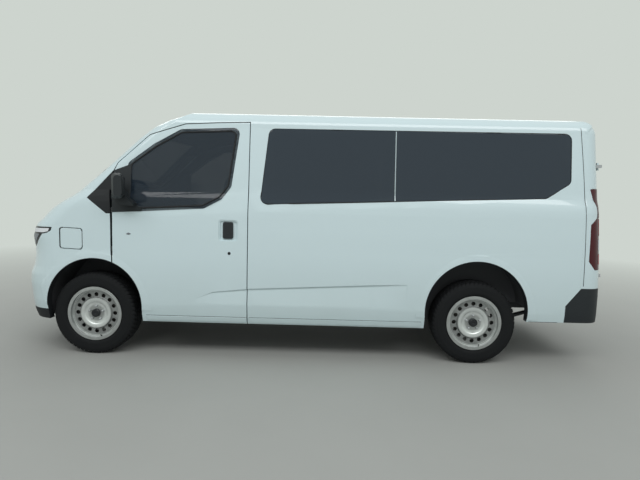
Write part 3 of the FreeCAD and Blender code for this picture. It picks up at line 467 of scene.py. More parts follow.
red_lens = lamp_lens("red_lens", "tail_lamp", linear(76, 12, 22), 0.16, 60)
pale_lens = lamp_lens("pale_lens", "tail_lamp", linear(196, 200, 204), 0.15, 60)
brake_red = lamp_lens("brake_red", "tail_lamp", linear(168, 38, 46), 0.1, 90)
strip_white = lamp_lens("strip_white", "headlamp", linear(240, 244, 248), 0.2, 40)
lamp_grey = lamp_lens("lamp_reflector", "headlamp", linear(120, 126, 132), 0.18, 90)
print("materials so far:", len(bpy.data.materials))

# %% [markdown]
# Every piece made below is a mesh written in the model's own coordinates, so its spot is in its points.
# One helper links it, gives it a finish, and lets it ride on the body that carries it. A bevel with
# weighted normals rounds each sharp edge, since no real pressed or moulded edge is perfectly sharp.

# %% Piece helpers


def settle(piece, finish, body):
    """Give a new piece its finish and the body that carries it."""
    piece.data.materials.append(finish.material)
    bpy.context.scene.collection.objects.link(piece)
    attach(piece, body)
    return piece


def soften(piece, width):
    """Rounded edges and even shading."""
    mesh = piece.data
    mesh.polygons.foreach_set("use_smooth", [True] * len(mesh.polygons))
    if width > 0:
        bevel = piece.modifiers.new("edge_round", "BEVEL")
        bevel.width = width
        bevel.segments = 2
        bevel.limit_method = "ANGLE"
        bevel.angle_limit = math.radians(40)
        bevel.use_clamp_overlap = True
    piece.modifiers.new("even_shading", "WEIGHTED_NORMAL").keep_sharp = True
    return piece


def mesh_piece(name, points, faces, finish, body, edge=0.0):
    mesh = bpy.data.meshes.new(name)
    mesh.from_pydata([tuple(point) for point in points], [], faces)
    fix = bmesh.new()
    fix.from_mesh(mesh)
    bmesh.ops.remove_doubles(fix, verts=fix.verts, dist=1e-6)
    bmesh.ops.recalc_face_normals(fix, faces=fix.faces)
    fix.to_mesh(mesh)
    fix.free()
    piece = settle(bpy.data.objects.new(name, mesh), finish, body)
    return soften(piece, edge)


print("piece helpers ready")

# %% [markdown]
# Most small parts of a vehicle are turned, bent or pressed. So a turned piece is a profile repeated
# round an axis, a wire or seal is a curve with a round bevel, and a pressed outline has arcs for
# corners. Rings of points with quads between them serve all of these, and they give clean faces that a
# bevel can work on.

# %% Turned, bent and pressed pieces
ARC_STEPS = 6


def ring_faces(rings, count, capped=False):
    """Quads between rings of points; the last ring joins the first, unless both ends are capped."""
    faces = []
    for ring in range(rings - 1 if capped else rings):
        after = (ring + 1) % rings
        for step in range(count):
            ahead = (step + 1) % count
            near = (ring * count + step, ring * count + ahead)
            faces.append((*near, after * count + ahead, after * count + step))
    if capped:
        faces.append(tuple(range(count)))
        faces.append(tuple(range((rings - 1) * count, rings * count))[::-1])
    return faces


def turned(name, profile, centre, way, finish, body, steps, edge):
    """A ring turned about the Y axis from a closed profile of (along, out); way -1 mirrors it."""
    points = []
    for step in range(steps):
        angle = 2 * math.pi * step / steps
        for along, out in profile:
            spoke = Vector((out * math.sin(angle), way * along, out * math.cos(angle)))
            points.append(Vector(centre) + spoke)
    return mesh_piece(name, points, ring_faces(steps, len(profile)), finish, body, edge)


def tube(name, path, radius, finish, body, cyclic=False):
    """A round bead along a path, as a curve with a bevel."""
    curve = bpy.data.curves.new(name, "CURVE")
    curve.dimensions = "3D"
    curve.bevel_depth = radius
    curve.bevel_resolution = 3
    spline = curve.splines.new("POLY")
    spline.points.add(len(path) - 1)
    for point, spot in zip(spline.points, path):
        point.co = (*spot, 1.0)
    spline.use_cyclic_u = cyclic
    return settle(bpy.data.objects.new(name, curve), finish, body)


def rounded_outline(corners, radius):
    """Points round a closed outline of (across, up) corners, each corner replaced by an arc."""
    made = []
    count = len(corners)
    for index in range(count):
        here = Vector(corners[index])
        back = (Vector(corners[index - 1]) - here).normalized()
        ahead = (Vector(corners[(index + 1) % count]) - here).normalized()
        half = back.angle(ahead) / 2
        run = radius / math.tan(half)
        middle = here + (back + ahead).normalized() * (radius / math.sin(half))
        start = here + back * run - middle
        end = here + ahead * run - middle
        sweep = start.angle_signed(end)
        for step in range(ARC_STEPS + 1):
            turn = Matrix.Rotation(-sweep * step / ARC_STEPS, 2)
            made.append(middle + turn @ start)
    return made


def box_piece(name, low, high, finish, body, edge):
    """A moulded block between two corners, with rounded edges."""
    points = list(product(*zip(low, high)))
    faces = [(0, 1, 3, 2), (4, 6, 7, 5), (0, 4, 5, 1), (2, 3, 7, 6), (0, 2, 6, 4), (1, 5, 7, 3)]
    return mesh_piece(name, points, faces, finish, body, edge)


print("arc steps in a rounded corner:", ARC_STEPS)

# %% [markdown]
# The floor is a pale sheet under the tyres. It is part of the studio, not of the vehicle. Far from the
# vehicle it fades into the colour of the background, as the paper sweep of a photo studio does. A Mix
# Shader does that: its factor grows with the distance, and only for rays that come from the camera,
# from a reflection or through glass, so the faded floor sheds no light of its own.

# %% Studio floor
FLOOR_COLOR = linear(176, 178, 174)
FLOOR_WORN = linear(160, 162, 158)
WALL_COLOR = linear(205, 212, 206)
FLOOR_REACH = 40.0
FADE_START = 3.2
FADE_RUN = 7.0


def seen_directly(tree):
    """1 for the camera's rays and for those that glossy or clear surfaces send on."""
    path = tree.nodes.new("ShaderNodeLightPath")
    shown = path.outputs["Is Camera Ray"]
    for kind in ("Is Glossy Ray", "Is Transmission Ray"):
        either = tree.nodes.new("ShaderNodeMath")
        either.operation = "MAXIMUM"
        tree.links.new(shown, either.inputs[0])
        tree.links.new(path.outputs[kind], either.inputs[1])
        shown = either.outputs[0]
    return shown


def studio_floor():
    corners = [(x * FLOOR_REACH, y * FLOOR_REACH, 0) for x, y in ((-1, -1), (1, -1), (1, 1), (-1, 1))]
    mesh = bpy.data.meshes.new("studio_floor")
    mesh.from_pydata(corners, [], [(0, 1, 2, 3)])
    sheet = bpy.data.objects.new("studio_floor", mesh)
    bpy.context.scene.collection.objects.link(sheet)
    finish = Finish("studio_floor", "floor", roughness=0.75)
    finish.set("Base Color", finish.mix(finish.noise(1.4, 5) * 0.5, FLOOR_COLOR, FLOOR_WORN))
    place = {0: finish.place()}
    away = finish.node("ShaderNodeVectorMath", {"operation": "LENGTH"}, place, output="Value")
    limits = {"Value": away, "From Min": FADE_START, "From Max": FADE_START + FADE_RUN}
    fade = finish.node("ShaderNodeMapRange", None, limits)
    ray = Signal(finish, seen_directly(finish.tree))
    glow = finish.node("ShaderNodeEmission", None, {"Color": WALL_COLOR, "Strength": 1.0})
    blend = finish.node("ShaderNodeMixShader", None, {0: fade * ray, 2: glow})
    finish.tree.links.new(finish.shader.outputs[0], blend.output.node.inputs[1])
    finish.tree.links.new(blend.output, finish.tree.nodes["Material Output"].inputs["Surface"])
    sheet.data.materials.append(finish.material)


studio_floor()
print("floor fades out between metres:", FADE_START, FADE_START + FADE_RUN)

# %% [markdown]
# The background is only a colour of the world. Light Path shows the pale one to the camera and to
# reflections, while the vehicle is lit by a dimmer one, so no extra light is needed to keep the
# background pale.

# %% Background
AMBIENT_COLOR = linear(236, 240, 240)
AMBIENT_STRENGTH = 0.55
world = bpy.data.worlds.new("studio")
world.use_nodes = True
bpy.context.scene.world = world
sky = world.node_tree
background = sky.nodes["Background"]
background.inputs["Color"].default_value = AMBIENT_COLOR
background.inputs["Strength"].default_value = AMBIENT_STRENGTH
seen = sky.nodes.new("ShaderNodeBackground")
seen.inputs["Color"].default_value = WALL_COLOR
seen.inputs["Strength"].default_value = 1.0
swap = sky.nodes.new("ShaderNodeMixShader")
sky.links.new(seen_directly(sky), swap.inputs[0])
sky.links.new(background.outputs[0], swap.inputs[1])
sky.links.new(seen.outputs[0], swap.inputs[2])
sky.links.new(swap.outputs[0], sky.nodes["World Output"].inputs["Surface"])
print("world:", world.name)

# %% [markdown]
# A showroom is lit by broad ceiling panels. Three large area lights do the same job: a weak one
# overhead, a strong one high over the side that the camera sees, and a softer one over the far side, so
# that no side of the vehicle falls dark. They stand high and aim low, which keeps their reflections out
# of the windows.

# %% Lights
LIGHTS = (
    # name, spot, aimed at, width, depth, watts
    ("ceiling", (0.0, 0.0, 6.0), (0.0, 0.0, 0.0), 9.0, 4.0, 12),
    ("near_side", (0.0, 5.9, 6.2), (0.0, 0.0, 0.8), 12.0, 2.6, 310),
    ("far_side", (0.0, -5.9, 6.2), (0.0, 0.0, 0.8), 12.0, 2.6, 160),
)
for name, spot, aim, width, depth, watts in LIGHTS:
    lamp = bpy.data.lights.new(name, "AREA")
    lamp.shape = "RECTANGLE"
    lamp.size = width
    lamp.size_y = depth
    lamp.energy = watts
    holder = bpy.data.objects.new(name, lamp)
    bpy.context.scene.collection.objects.link(holder)
    holder.location = spot
    holder.rotation_mode = "QUATERNION"
    holder.rotation_quaternion = (Vector(aim) - Vector(spot)).to_track_quat("-Z", "Y")
print("lights:", len(LIGHTS))

# %% [markdown]
# Most solids only need their finish and slightly rounded edges. The loader splits a mesh along its
# edges, so a weld comes before the bevel, and weighted normals then keep the big faces flat.

# %% Finishes for the solids that stay as they are
DRESS = (
    # finish, edge rounding, solids
    (paint, 0.0015, ("roof", "rear_frame", "front_bumper", "hood", "charge_flap", "fenders")),
    (paint, 0.0015, ("body_sides", "sliding_door", "door_front_left", "door_front_right")),
    (paint, 0.0015, ("rear_door_left", "rear_door_right")),
    (door_glass, 0.0, ("door_glass_left", "door_glass_right")),
    (fixed_glass, 0.0, ("fixed_glass",)),
    (tail_glass, 0.0, ("rear_glass_left", "rear_glass_right")),
    (lamp_black, 0.001, ("headlamps",)),
    (red_lens, 0.001, ("tail_lamps",)),
    (black_plastic, 0.003, ("cowl", "rear_bumper", "mirror_left", "mirror_right")),
    (arch_liner, 0.003, ("wheel_houses",)),
    (floor_steel, 0.001, ("floor_pan", "chassis_rails", "suspension_arms", "rear_axle")),
    (floor_steel, 0.001, ("leaf_springs", "drive_unit", "knuckle_left", "knuckle_right")),
    (battery_case, 0.004, ("battery_pack",)),
    (hinge_steel, 0.001, ("door_hinges",)),
    (rubber, 0.0, ("tyre_front_left", "tyre_front_right", "tyre_rear_left", "tyre_rear_right")),
    (silver, 0.001, ("rim_front_left", "rim_front_right", "rim_rear_left", "rim_rear_right")),
    (cabin_plastic, 0.006, ("dashboard", "steering_wheel")),
    (cloth, 0.012, ("seats",)),
)


def dress(name, finish, edge):
    solid = nodes[name]
    solid.data.materials.clear()
    solid.data.materials.append(finish.material)
    if "sharp_edge" in solid.data.attributes:
        solid.data.attributes.remove(solid.data.attributes["sharp_edge"])
    weld = solid.modifiers.new("weld", "WELD")
    weld.merge_threshold = 0.00002
    soften(solid, edge)


for finish, edge, names in DRESS:
    for name in names:
        dress(name, finish, edge)
print("dressed:", sum(len(names) for _, _, names in DRESS))

# %% [markdown]
# The model's corner panel ends in a sharp edge where roof and tail meet, while the real one is rounded
# as wide as a hand. A copy of the panel takes its place: cuts slice it finely near that edge, then each
# point of the square corner slides inward until the square has become a quarter circle. Thickness and
# openings follow along.

# %% Rounded tail corner
CORNER_ROUND = 0.150
CORNER_STEP = 0.0125
ROOF_TOP = 2.004
ROOF_BAND = 0.06


def sliced(shape, axis, place):
    """Cut every face where it crosses a place on an axis."""
    spot = [0, 0, 0]
    spot[axis] = place
    normal = [0, 0, 0]
    normal[axis] = 1
    everything = shape.verts[:] + shape.edges[:] + shape.faces[:]
    bmesh.ops.bisect_plane(shape, geom=everything, plane_co=spot, plane_no=normal)


def rounded_tail():
    shape = bmesh.new()
    shape.from_mesh(nodes["rear_frame"].data)
    bmesh.ops.remove_doubles(shape, verts=shape.verts, dist=0.00002)
    upper = [vertex.co.x for vertex in shape.verts if vertex.co.z > ROOF_TOP - ROOF_BAND]
    start_x = min(upper) + CORNER_ROUND
    start_z = ROOF_TOP - CORNER_ROUND
    cuts = int(CORNER_ROUND / CORNER_STEP)
    for step in range(cuts):
        sliced(shape, 0, start_x - step * CORNER_STEP)
        sliced(shape, 2, start_z + step * CORNER_STEP)
    moved = 0
    for vertex in shape.verts:
        back = (start_x - vertex.co.x) / CORNER_ROUND
        up = (vertex.co.z - start_z) / CORNER_ROUND
        if back > 0 and up > 0:
            pull = max(back, up) / math.hypot(back, up)
            vertex.co.x = start_x - back * pull * CORNER_ROUND
            vertex.co.z = start_z + up * pull * CORNER_ROUND
            moved += 1
    mesh = bpy.data.meshes.new("tail_corner_panel")
    shape.to_mesh(mesh)
    shape.free()
    panel = settle(bpy.data.objects.new("tail_corner_panel", mesh), paint, "body")
    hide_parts("rear_frame")
    soften(panel, 0.0015)
    return panel, moved


tail_panel, moved = rounded_tail()
print("points that slid round the corner:", moved)

# %% [markdown]
# Trim has to follow the curved panels. A ray shot along a view finds the skin at any point of that
# view, so a seal or a plate can be laid on it without knowing the formula of the surface. Seven views
# do for the whole vehicle: both sides, the front, the tail, the top, and each side wall seen from the
# middle of the cabin.

# %% Finding the skin
SKIN_SOLIDS = ("body_sides", "sliding_door", "door_front_left", "door_front_right", "fenders", "cowl")
SKIN_SOLIDS += ("door_glass_left", "door_glass_right", "fixed_glass", "roof", "hood", "front_bumper")
SKIN_SOLIDS += ("rear_bumper", "headlamps", "tail_lamps", "rear_door_left", "rear_door_right")
SKIN_SOLIDS += ("rear_glass_left", "rear_glass_right")


def skin_tree():
    points = []
    faces = []
    for mesh in [nodes[name].data for name in SKIN_SOLIDS] + [tail_panel.data]:
        start = len(points)
        points += [vertex.co.copy() for vertex in mesh.vertices]
        faces += [tuple(start + index for index in face.vertices) for face in mesh.polygons]
    return BVHTree.FromPolygons(points, faces)


skin = skin_tree()


VIEWS = {
    # view: axis looked along, start on it, way of the look, distance guessed where a ray misses, reach
    "left": (1, 1.05, -1, 0.17, 0.45),
    "right": (1, -1.05, 1, 0.17, 0.45),
    "front": (0, 3.0, -1, 0.62, 2.2),
    "tail": (0, -3.0, 1, 0.62, 0.8),
    "top": (2, 3.0, -1, 1.0, 2.2),
    "inside_left": (1, 0.30, 1, 0.50, 0.60),
    "inside_right": (1, -0.30, -1, 0.50, 0.60),
}


def looking(view):
    """The direction of a view."""
    axis, _, way, _, _ = VIEWS[view]
    direction = Vector((0, 0, 0))
    direction[axis] = way
    return direction


def on_skin(view, across, up, lift=0.0):
    """The first skin met at a point of a view; where a ray slips through a gap, the nearest skin."""
    axis, place, _, near, far = VIEWS[view]
    start = [across, up]
    start.insert(axis, place)
    start = Vector(start)
    direction = looking(view)
    spot, _, _, _ = skin.ray_cast(start, direction, far)
    if spot is None:
        spot, _, _, _ = skin.find_nearest(start + direction * near)
    return spot - direction * lift


print("half width at the waist:", round(on_skin("left", 0.0, 1.0).y, 4))

# %% [markdown]
# A tyre's tread is a band of rubber blocks between grooves that run round it. Turning a profile gives
# the grooves; then every few degrees the outer blocks drop to the groove's depth for a short step,
# which cuts the slots across. The sidewall has two raised rings. All four tyres share one set of
# points.

# %% Tyres
SIDES = (("left", 1), ("right", -1))
WHEEL_MIDDLE = 0.751
WHEELS = {
    f"{end}_{side}": (Vector((axle, way * WHEEL_MIDDLE, AXLE_HEIGHT)), way)
    for end, axle in zip(("front", "rear"), AXLES)
    for side, way in SIDES
}
TREAD_BLOCKS = 58
BLOCK_MIDDLE = 0.42
SLOT_SHARE = 0.16
SLOT_WALLS = (0.93, 0.07)
GROOVE_DEPTH = 0.008
CENTRE_RIB = 0.012
HALF_WIDTH = 0.1
STAGGER = 0.45
LEAN = 1.1
INNER_BEAD = (0.087, 0.205)
# Profile from the middle of the tread to the bead. Columns: along the axle, radius, slotted across
HALF_PROFILE = (
    (0.000, 0.3335, False), (0.011, 0.3335, False), (0.012, 0.3255, False),
    (0.018, 0.3255, False), (0.019, 0.3336, True), (0.043, 0.3334, True),
    (0.044, 0.3254, False), (0.051, 0.3254, False), (0.052, 0.3330, True),
    (0.078, 0.3310, True), (0.086, 0.3270, True), (0.092, 0.3200, True),
    (0.0955, 0.3120, False), (0.0965, 0.3100, False), (0.0990, 0.3000, False),
    (0.1000, 0.2960, False), (0.1012, 0.2955, False), (0.1018, 0.2900, False),
    (0.1024, 0.2740, False), (0.1020, 0.2560, False), (0.1026, 0.2540, False),
    (0.1022, 0.2460, False), (0.0995, 0.2350, False), (0.0945, 0.2270, False),
    (0.0880, 0.2240, False),
)


def tyre_points():
    """Rings of the whole tyre; the blocks of one shoulder are staggered against those of the other."""
    rows = [(-along, out, slotted) for along, out, slotted in reversed(HALF_PROFILE)]
    rows += list(HALF_PROFILE[1:])
    rows += [(INNER_BEAD[0], INNER_BEAD[1], False), (-INNER_BEAD[0], INNER_BEAD[1], False)]
    rings = []
    pitch = 2 * math.pi / TREAD_BLOCKS
    for block in range(TREAD_BLOCKS):
        steps = (
            (0.0, False),
            (BLOCK_MIDDLE * (1 - SLOT_SHARE), False),
            (1 - SLOT_SHARE, False),
            (1 - SLOT_SHARE * SLOT_WALLS[0], True),
            (1 - SLOT_SHARE * SLOT_WALLS[1], True),
        )
        for share, in_slot in steps:
            ring = []
            for along, out, slotted in rows:
                stagger = STAGGER * pitch if along > 0 else 0.0
                lean = abs(along) * LEAN * pitch / HALF_WIDTH
                angle = (block + share) * pitch + stagger * min(1.0, abs(along) / CENTRE_RIB) + lean
                radius = out - (GROOVE_DEPTH if in_slot and slotted else 0.0)
                ring.append(Vector((radius * math.sin(angle), along, radius * math.cos(angle))))
            rings.append(ring)
    return rings


TYRE_RINGS = tyre_points()
for corner, (centre, way) in WHEELS.items():
    points = [centre + spot for ring in TYRE_RINGS for spot in ring]
    faces = ring_faces(len(TYRE_RINGS), len(TYRE_RINGS[0]))
    tyre = mesh_piece(f"tread_{corner}", points, faces, rubber, f"wheel_{corner}")
    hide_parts(f"tyre_{corner}")
print("faces in one tyre:", len(faces))

# %% [markdown]
# The stamped wheels come from the model. What a bare wheel shows besides is its five nuts, a dark cap
# over the hub, the valve in the rim and the brake behind the vents. Nuts repeat round a circle, so one
# loop makes them.

# %% Nuts, hub caps, valves and brakes
BOLT_CIRCLE = 0.057
HUB_FACE = 0.0615
NUT_HALF = 0.0105
NUT_HEIGHT = 0.016
# Profiles of turned pieces: along the axle from the wheel's middle plane, radius
HUB_CAP = (
    (0.058, 0.0335), (0.081, 0.0325), (0.084, 0.029), (0.084, 0.012), (0.080, 0.001), (0.058, 0.001),
)
BRAKE_DRUM = ((0.022, 0.036), (0.022, 0.148), (0.002, 0.152), (-0.016, 0.152), (-0.016, 0.036))
VALVE_FOOT = (-0.05, 0.078, -0.187)
VALVE_TIP = (-0.047, 0.094, -0.176)


def nut_points(centre, way):
    """A hexagon nut with a domed end, standing on the hub."""
    rings = []
    for along, reach in ((0.0, 1.0), (0.65, 1.0), (0.85, 0.86), (1.0, 0.5)):
        ring = []
        for side in range(6):
            angle = math.pi / 3 * side
            spot = Vector((NUT_HALF * reach * math.sin(angle), 0, NUT_HALF * reach * math.cos(angle)))
            ring.append(centre + spot + Vector((0, way * along * NUT_HEIGHT, 0)))
        rings.append(ring)
    return rings


for corner, (centre, way) in WHEELS.items():
    body = f"wheel_{corner}"
    points = []
    faces = []
    for index in range(5):
        angle = 2 * math.pi * index / 5
        off = Vector((BOLT_CIRCLE * math.sin(angle), way * HUB_FACE, BOLT_CIRCLE * math.cos(angle)))
        rings = nut_points(centre + off, way)
        start = len(points)
        points += [spot for ring in rings for spot in ring]
        faces += [tuple(start + place for place in face) for face in ring_faces(4, 6, capped=True)]
    mesh_piece(f"wheel_nuts_{corner}", points, faces, hinge_steel, body, 0.0008)
    turned(f"hub_cap_{corner}", HUB_CAP, centre, way, gloss_black, body, 40, 0.0008)
    turned(f"brake_drum_{corner}", BRAKE_DRUM, centre, way, brake_steel, body, 64, 0.002)
    foot, tip = (centre + Vector((x, way * y, z)) for x, y, z in (VALVE_FOOT, VALVE_TIP))
    tube(f"valve_{corner}", [foot, foot.lerp(tip, 0.5), tip], 0.0045, rubber, body)
print("wheels trimmed:", len(WHEELS))

# %% [markdown]
# A flat outline can be laid on a curved panel in three steps: draw it in the view, slice it into small
# cells, and drop every corner onto the skin along the view. A Solidify modifier then gives the sheet
# its thickness. Lamp chambers, marker lamps, roof ribs, door cards and the flange of the sill are all
# made this way.

# %% Sheets laid on the skin
CELL = 0.014


def laid_sheet(name, view, corners, radius, lift, thick, finish, body, edge=0.001):
    """A sheet over a rounded outline in a view, laid on the skin and standing off it by a lift."""
    flat = bmesh.new()
    ring = [flat.verts.new((spot.x, spot.y, 0)) for spot in rounded_outline(corners, radius)]
    flat.faces.new(ring)
    for axis in (0, 1):
        low = min(vertex.co[axis] for vertex in flat.verts)
        high = max(vertex.co[axis] for vertex in flat.verts)
        for step in range(1, int((high - low) / CELL) + 1):
            sliced(flat, axis, low + step * CELL)
    for vertex in flat.verts:
        vertex.co = on_skin(view, vertex.co.x, vertex.co.y, lift)
    mesh = bpy.data.meshes.new(name)
    flat.normal_update()
    if sum(face.normal.dot(looking(view)) for face in flat.faces) > 0:
        bmesh.ops.reverse_faces(flat, faces=flat.faces)
    flat.to_mesh(mesh)
    flat.free()
    sheet = settle(bpy.data.objects.new(name, mesh), finish, body)
    solidify = sheet.modifiers.new("thickness", "SOLIDIFY")
    solidify.thickness = thick
    solidify.offset = 1
    return soften(sheet, edge)


def bead(name, view, corners, radius, size, body):
    """A round rubber bead laid on the skin along a rounded outline."""
    ring = rounded_outline(corners, radius)
    path = []
    for index, spot in enumerate(ring):
        after = ring[(index + 1) % len(ring)]
        pieces = max(1, int((after - spot).length / 0.05))
        for step in range(pieces):
            point = spot.lerp(after, step / pieces)
            path.append(on_skin(view, point.x, point.y))
    return tube(name, path, size, rubber_seal, body, cyclic=True)


print("views to lay sheets in:", len(VIEWS))

# %% [markdown]
# Each front door's pane sits in a rubber channel, seen as a dark line round the glass. The long side
# windows are bonded on and have a slimmer bead.

# %% Window seals
DOOR_WINDOW = (
    (1.403, 1.262), (1.296, 1.200), (0.800, 1.232), (0.672, 1.302), (0.606, 1.392),
    (0.548, 1.826), (0.985, 1.806), (1.190, 1.690), (1.380, 1.546),
)
SIDE_WINDOW = (
    (0.290, 1.850), (0.352, 1.252), (-0.718, 1.297), (-1.900, 1.345), (-2.090, 1.470), (-2.090, 1.858),
)
TAIL_PANE = ((0.080, 1.340), (0.615, 1.340), (0.600, 1.800), (0.080, 1.800))
SCREEN_EDGE = ((-0.700, 1.404), (0.700, 1.404), (0.630, 1.870), (-0.630, 1.870))


def mirrored(corners, way):
    """An outline drawn across the left half of the vehicle, for the left (1) or the right (-1)."""
    return tuple((way * across, up) for across, up in corners)


for side, way in SIDES:
    bead(f"door_window_seal_{side}", side, DOOR_WINDOW, 0.04, 0.0065, f"front_door_{side}")
    bead(f"side_window_seal_{side}", side, SIDE_WINDOW, 0.055, 0.004, "body")
    pane = mirrored(TAIL_PANE, way)[::way]
    bead(f"tail_window_seal_{side}", "tail", pane, 0.05, 0.005, f"rear_door_{side}")
bead("windshield_seal", "front", SCREEN_EDGE, 0.06, 0.006, "body")
print("seals laid")

# %% [markdown]
# Flat trim with its own thickness, such as a handle pad or a screen, is an outline with rounded corners
# pushed along an axis. One helper makes it. It takes a function that says where a point of the outline
# goes, so that the same helper also serves a leaning mirror glass.

# %% Flat plates


def across_body(along, up, depth):
    return Vector((along, depth, up))


def along_body(across, up, depth):
    return Vector((depth, across, up))


def plate(name, place, corners, radius, depths, finish, body, edge):
    ring = rounded_outline(corners, radius)
    points = [place(spot.x, spot.y, depth) for depth in depths for spot in ring]
    return mesh_piece(name, points, ring_faces(2, len(ring), capped=True), finish, body, edge)


def rectangle(left, right, low, high):
    return ((left, low), (right, low), (right, high), (left, high))


print("plate helper ready")

# %% [markdown]
# Each front door is opened by a flush pull: a dark moulded pad stands in a shallow recess, with the
# lock cylinder below it and a small marker lamp ahead of it. The sliding door and the tail door repeat
# the pull.

# %% Door pulls and locks
PULL = ((0.559, 0.973), (0.641, 0.972), (0.641, 1.105), (0.559, 1.104))
PULL_SHIFT = -0.262
PULL_FLOOR = 0.8705
PULL_FACE = 0.8855
LOCK_SPOT = (0.588, 0.857)
LOCK = ((-0.004, 0.0004), (-0.004, 0.0125), (0.001, 0.0125), (0.0016, 0.009), (0.0016, 0.0004))
MARKER = ((1.412, 0.992), (1.392, 1.004), (1.384, 1.004), (1.364, 0.993), (1.388, 0.986))
TAIL_PULL = rectangle(0.052, 0.180, 1.000, 1.070)
TAIL_PULL_DEPTHS = (-2.397, -2.380)
for side, way in SIDES:
    body = f"front_door_{side}"
    depths = (way * PULL_FLOOR, way * PULL_FACE)
    plate(f"door_pull_{side}", across_body, PULL, 0.014, depths, black_plastic, body, 0.004)
    turned(f"door_lock_{side}", LOCK, on_skin(side, *LOCK_SPOT), way, gloss_black, body, 32, 0.0004)
    laid_sheet(f"door_marker_{side}", side, MARKER, 0.003, 0.0003, 0.0014, lamp_grey, body, 0.0006)
shifted = tuple((x + PULL_SHIFT, z) for x, z in PULL)
depths = (-PULL_FLOOR, -PULL_FACE)
plate("sliding_door_pull", across_body, shifted, 0.014, depths, black_plastic, "body", 0.004)
depths = TAIL_PULL_DEPTHS
plate("tail_door_pull", along_body, TAIL_PULL, 0.014, depths, black_plastic, "rear_door_left", 0.004)
print("pulls fitted")

# %% [markdown]
# A mirror is a black shell, swept back, with a flat glass that looks back along the side. The glass is
# a mirror in truth: a fully metallic face with almost no roughness. It leans with the shell, and a
# rubber rim frames it.

# %% Mirrors
mirror_face = Finish("mirror_face", "glass", metallic=1.0, roughness=0.03)
mirror_face.set("Base Color", linear(205, 210, 214))
MIRROR_GLASS = ((0.948, 1.304), (1.096, 1.298), (1.098, 1.436), (0.948, 1.434))
MIRROR_ROUND = 0.024
MIRROR_ROOT = (1.4007, 0.945)
MIRROR_LEAN = 0.348
MIRROR_PROUD = 0.0065
MIRROR_SEAT = 0.003


def mirror_plane(across, up, depth):
    """The slanted rear face of a mirror; depth counts forward from it."""
    ahead, root = MIRROR_ROOT
    return Vector((ahead - (abs(across) - root) * MIRROR_LEAN + depth, across, up))


for side, way in SIDES:
    body = f"front_door_{side}"
    corners = mirrored(MIRROR_GLASS, way)
    depths = (-MIRROR_PROUD, MIRROR_SEAT)
    name = f"mirror_glass_{side}"
    plate(name, mirror_plane, corners, MIRROR_ROUND, depths, mirror_face, body, 0.0008)
    ring = rounded_outline(corners, MIRROR_ROUND)
    rim = [mirror_plane(spot.x, spot.y, -MIRROR_PROUD + 0.002) for spot in ring]
    tube(f"mirror_rim_{side}", rim, 0.0045, black_plastic, body, cyclic=True)
print("mirrors glazed")

# %% [markdown]
# The headlamp is a black wedge that wraps round the corner of the nose. A bright light guide runs along
# its upper edge, and a grey reflector hangs under its outer end. Both are laid twice, once in the side
# view and once in the front view, so that together they follow the corner.

# %% Headlamps
GUIDE_SIDE = ((2.240, 1.017), (2.022, 1.024), (2.034, 0.999), (2.078, 0.989), (2.240, 0.986))
ELEMENT_SIDE = ((2.236, 0.975), (2.118, 0.976), (2.150, 0.934), (2.186, 0.886), (2.236, 0.882))
GUIDE_FRONT = ((0.512, 1.000), (0.508, 1.026), (0.800, 1.018), (0.800, 0.987))
ELEMENT_FRONT = ((0.712, 0.968), (0.800, 0.968), (0.800, 0.884), (0.762, 0.884))
for side, way in SIDES:
    for place, view, guide, element in (
        ("", side, GUIDE_SIDE, ELEMENT_SIDE),
        ("front_", "front", mirrored(GUIDE_FRONT, way), mirrored(ELEMENT_FRONT, way)),
    ):
        for piece, outline, radius, finish in (
            ("light_guide", guide, 0.004, strip_white),
            ("lamp_element", element, 0.006, lamp_grey),
        ):
            laid_sheet(f"{piece}_{place}{side}", view, outline, radius, 0.0004, 0.0016, finish, "body")
print("headlamps lit")

# %% [markdown]
# A tail lamp is one deep red lens with chambers behind it: a brighter brake light, a clear reversing
# light and a reflector. Each chamber is a thin sheet on the lens. The high brake light is a slim strip
# above the doors.

# %% Tail lamps
CHAMBER_INNER = 0.752
HIGH_LIGHT = rectangle(-0.165, 0.165, 1.902, 1.922)
CHAMBERS = (
    # name, lowest and highest point, outer edge, finish
    ("side_light", 1.206, 1.432, 0.846, red_lens),
    ("brake_light", 1.062, 1.196, 0.838, brake_red),
    ("reversing_light", 0.945, 1.035, 0.852, pale_lens),
    ("reflector", 0.835, 0.918, 0.852, brake_red),
)
for side, way in SIDES:
    for name, low, high, outer, finish in CHAMBERS:
        corners = mirrored(rectangle(CHAMBER_INNER, outer, low, high), way)
        laid_sheet(f"{name}_{side}", "tail", corners, 0.010, 0.0003, 0.0022, finish, "body", 0.0012)
laid_sheet("high_brake_light", "tail", HIGH_LIGHT, 0.006, 0.0, 0.005, brake_red, "body")
print("chambers:", 2 * len(CHAMBERS))

# %% [markdown]
# Behind the slots in the bumper stands a dark honeycomb plate, so that nobody looks into the empty
# nose. Two wipers rest low on the windshield: each has a pivot cap on the cowl, a bent arm and a rubber
# blade along the glass. Points on the glass come from the skin, then step out along its slope.

# %% Intake backing and wipers
box_piece("intake_backing", (2.300, -0.42, 0.392), (2.318, 0.42, 0.528), gloss_black, "body", 0.003)
GLASS_SLOPE = Vector((0.634, 0.0, 0.773))
PIVOT_CAP = ((-0.012, 0.0004), (-0.012, 0.016), (0.010, 0.016), (0.014, 0.011), (0.014, 0.0004))
WIPER_STEPS = 12
WIPERS = (
    # name, pivot across, pivot height, far end of the blade, near end of the blade, blade height
    ("left", 0.46, 1.362, 0.600, 0.020, 1.436),
    ("right", -0.16, 1.362, 0.000, -0.600, 1.436),
)


def off_glass(across, up, lift):
    return on_skin("front", across, up) + GLASS_SLOPE * lift


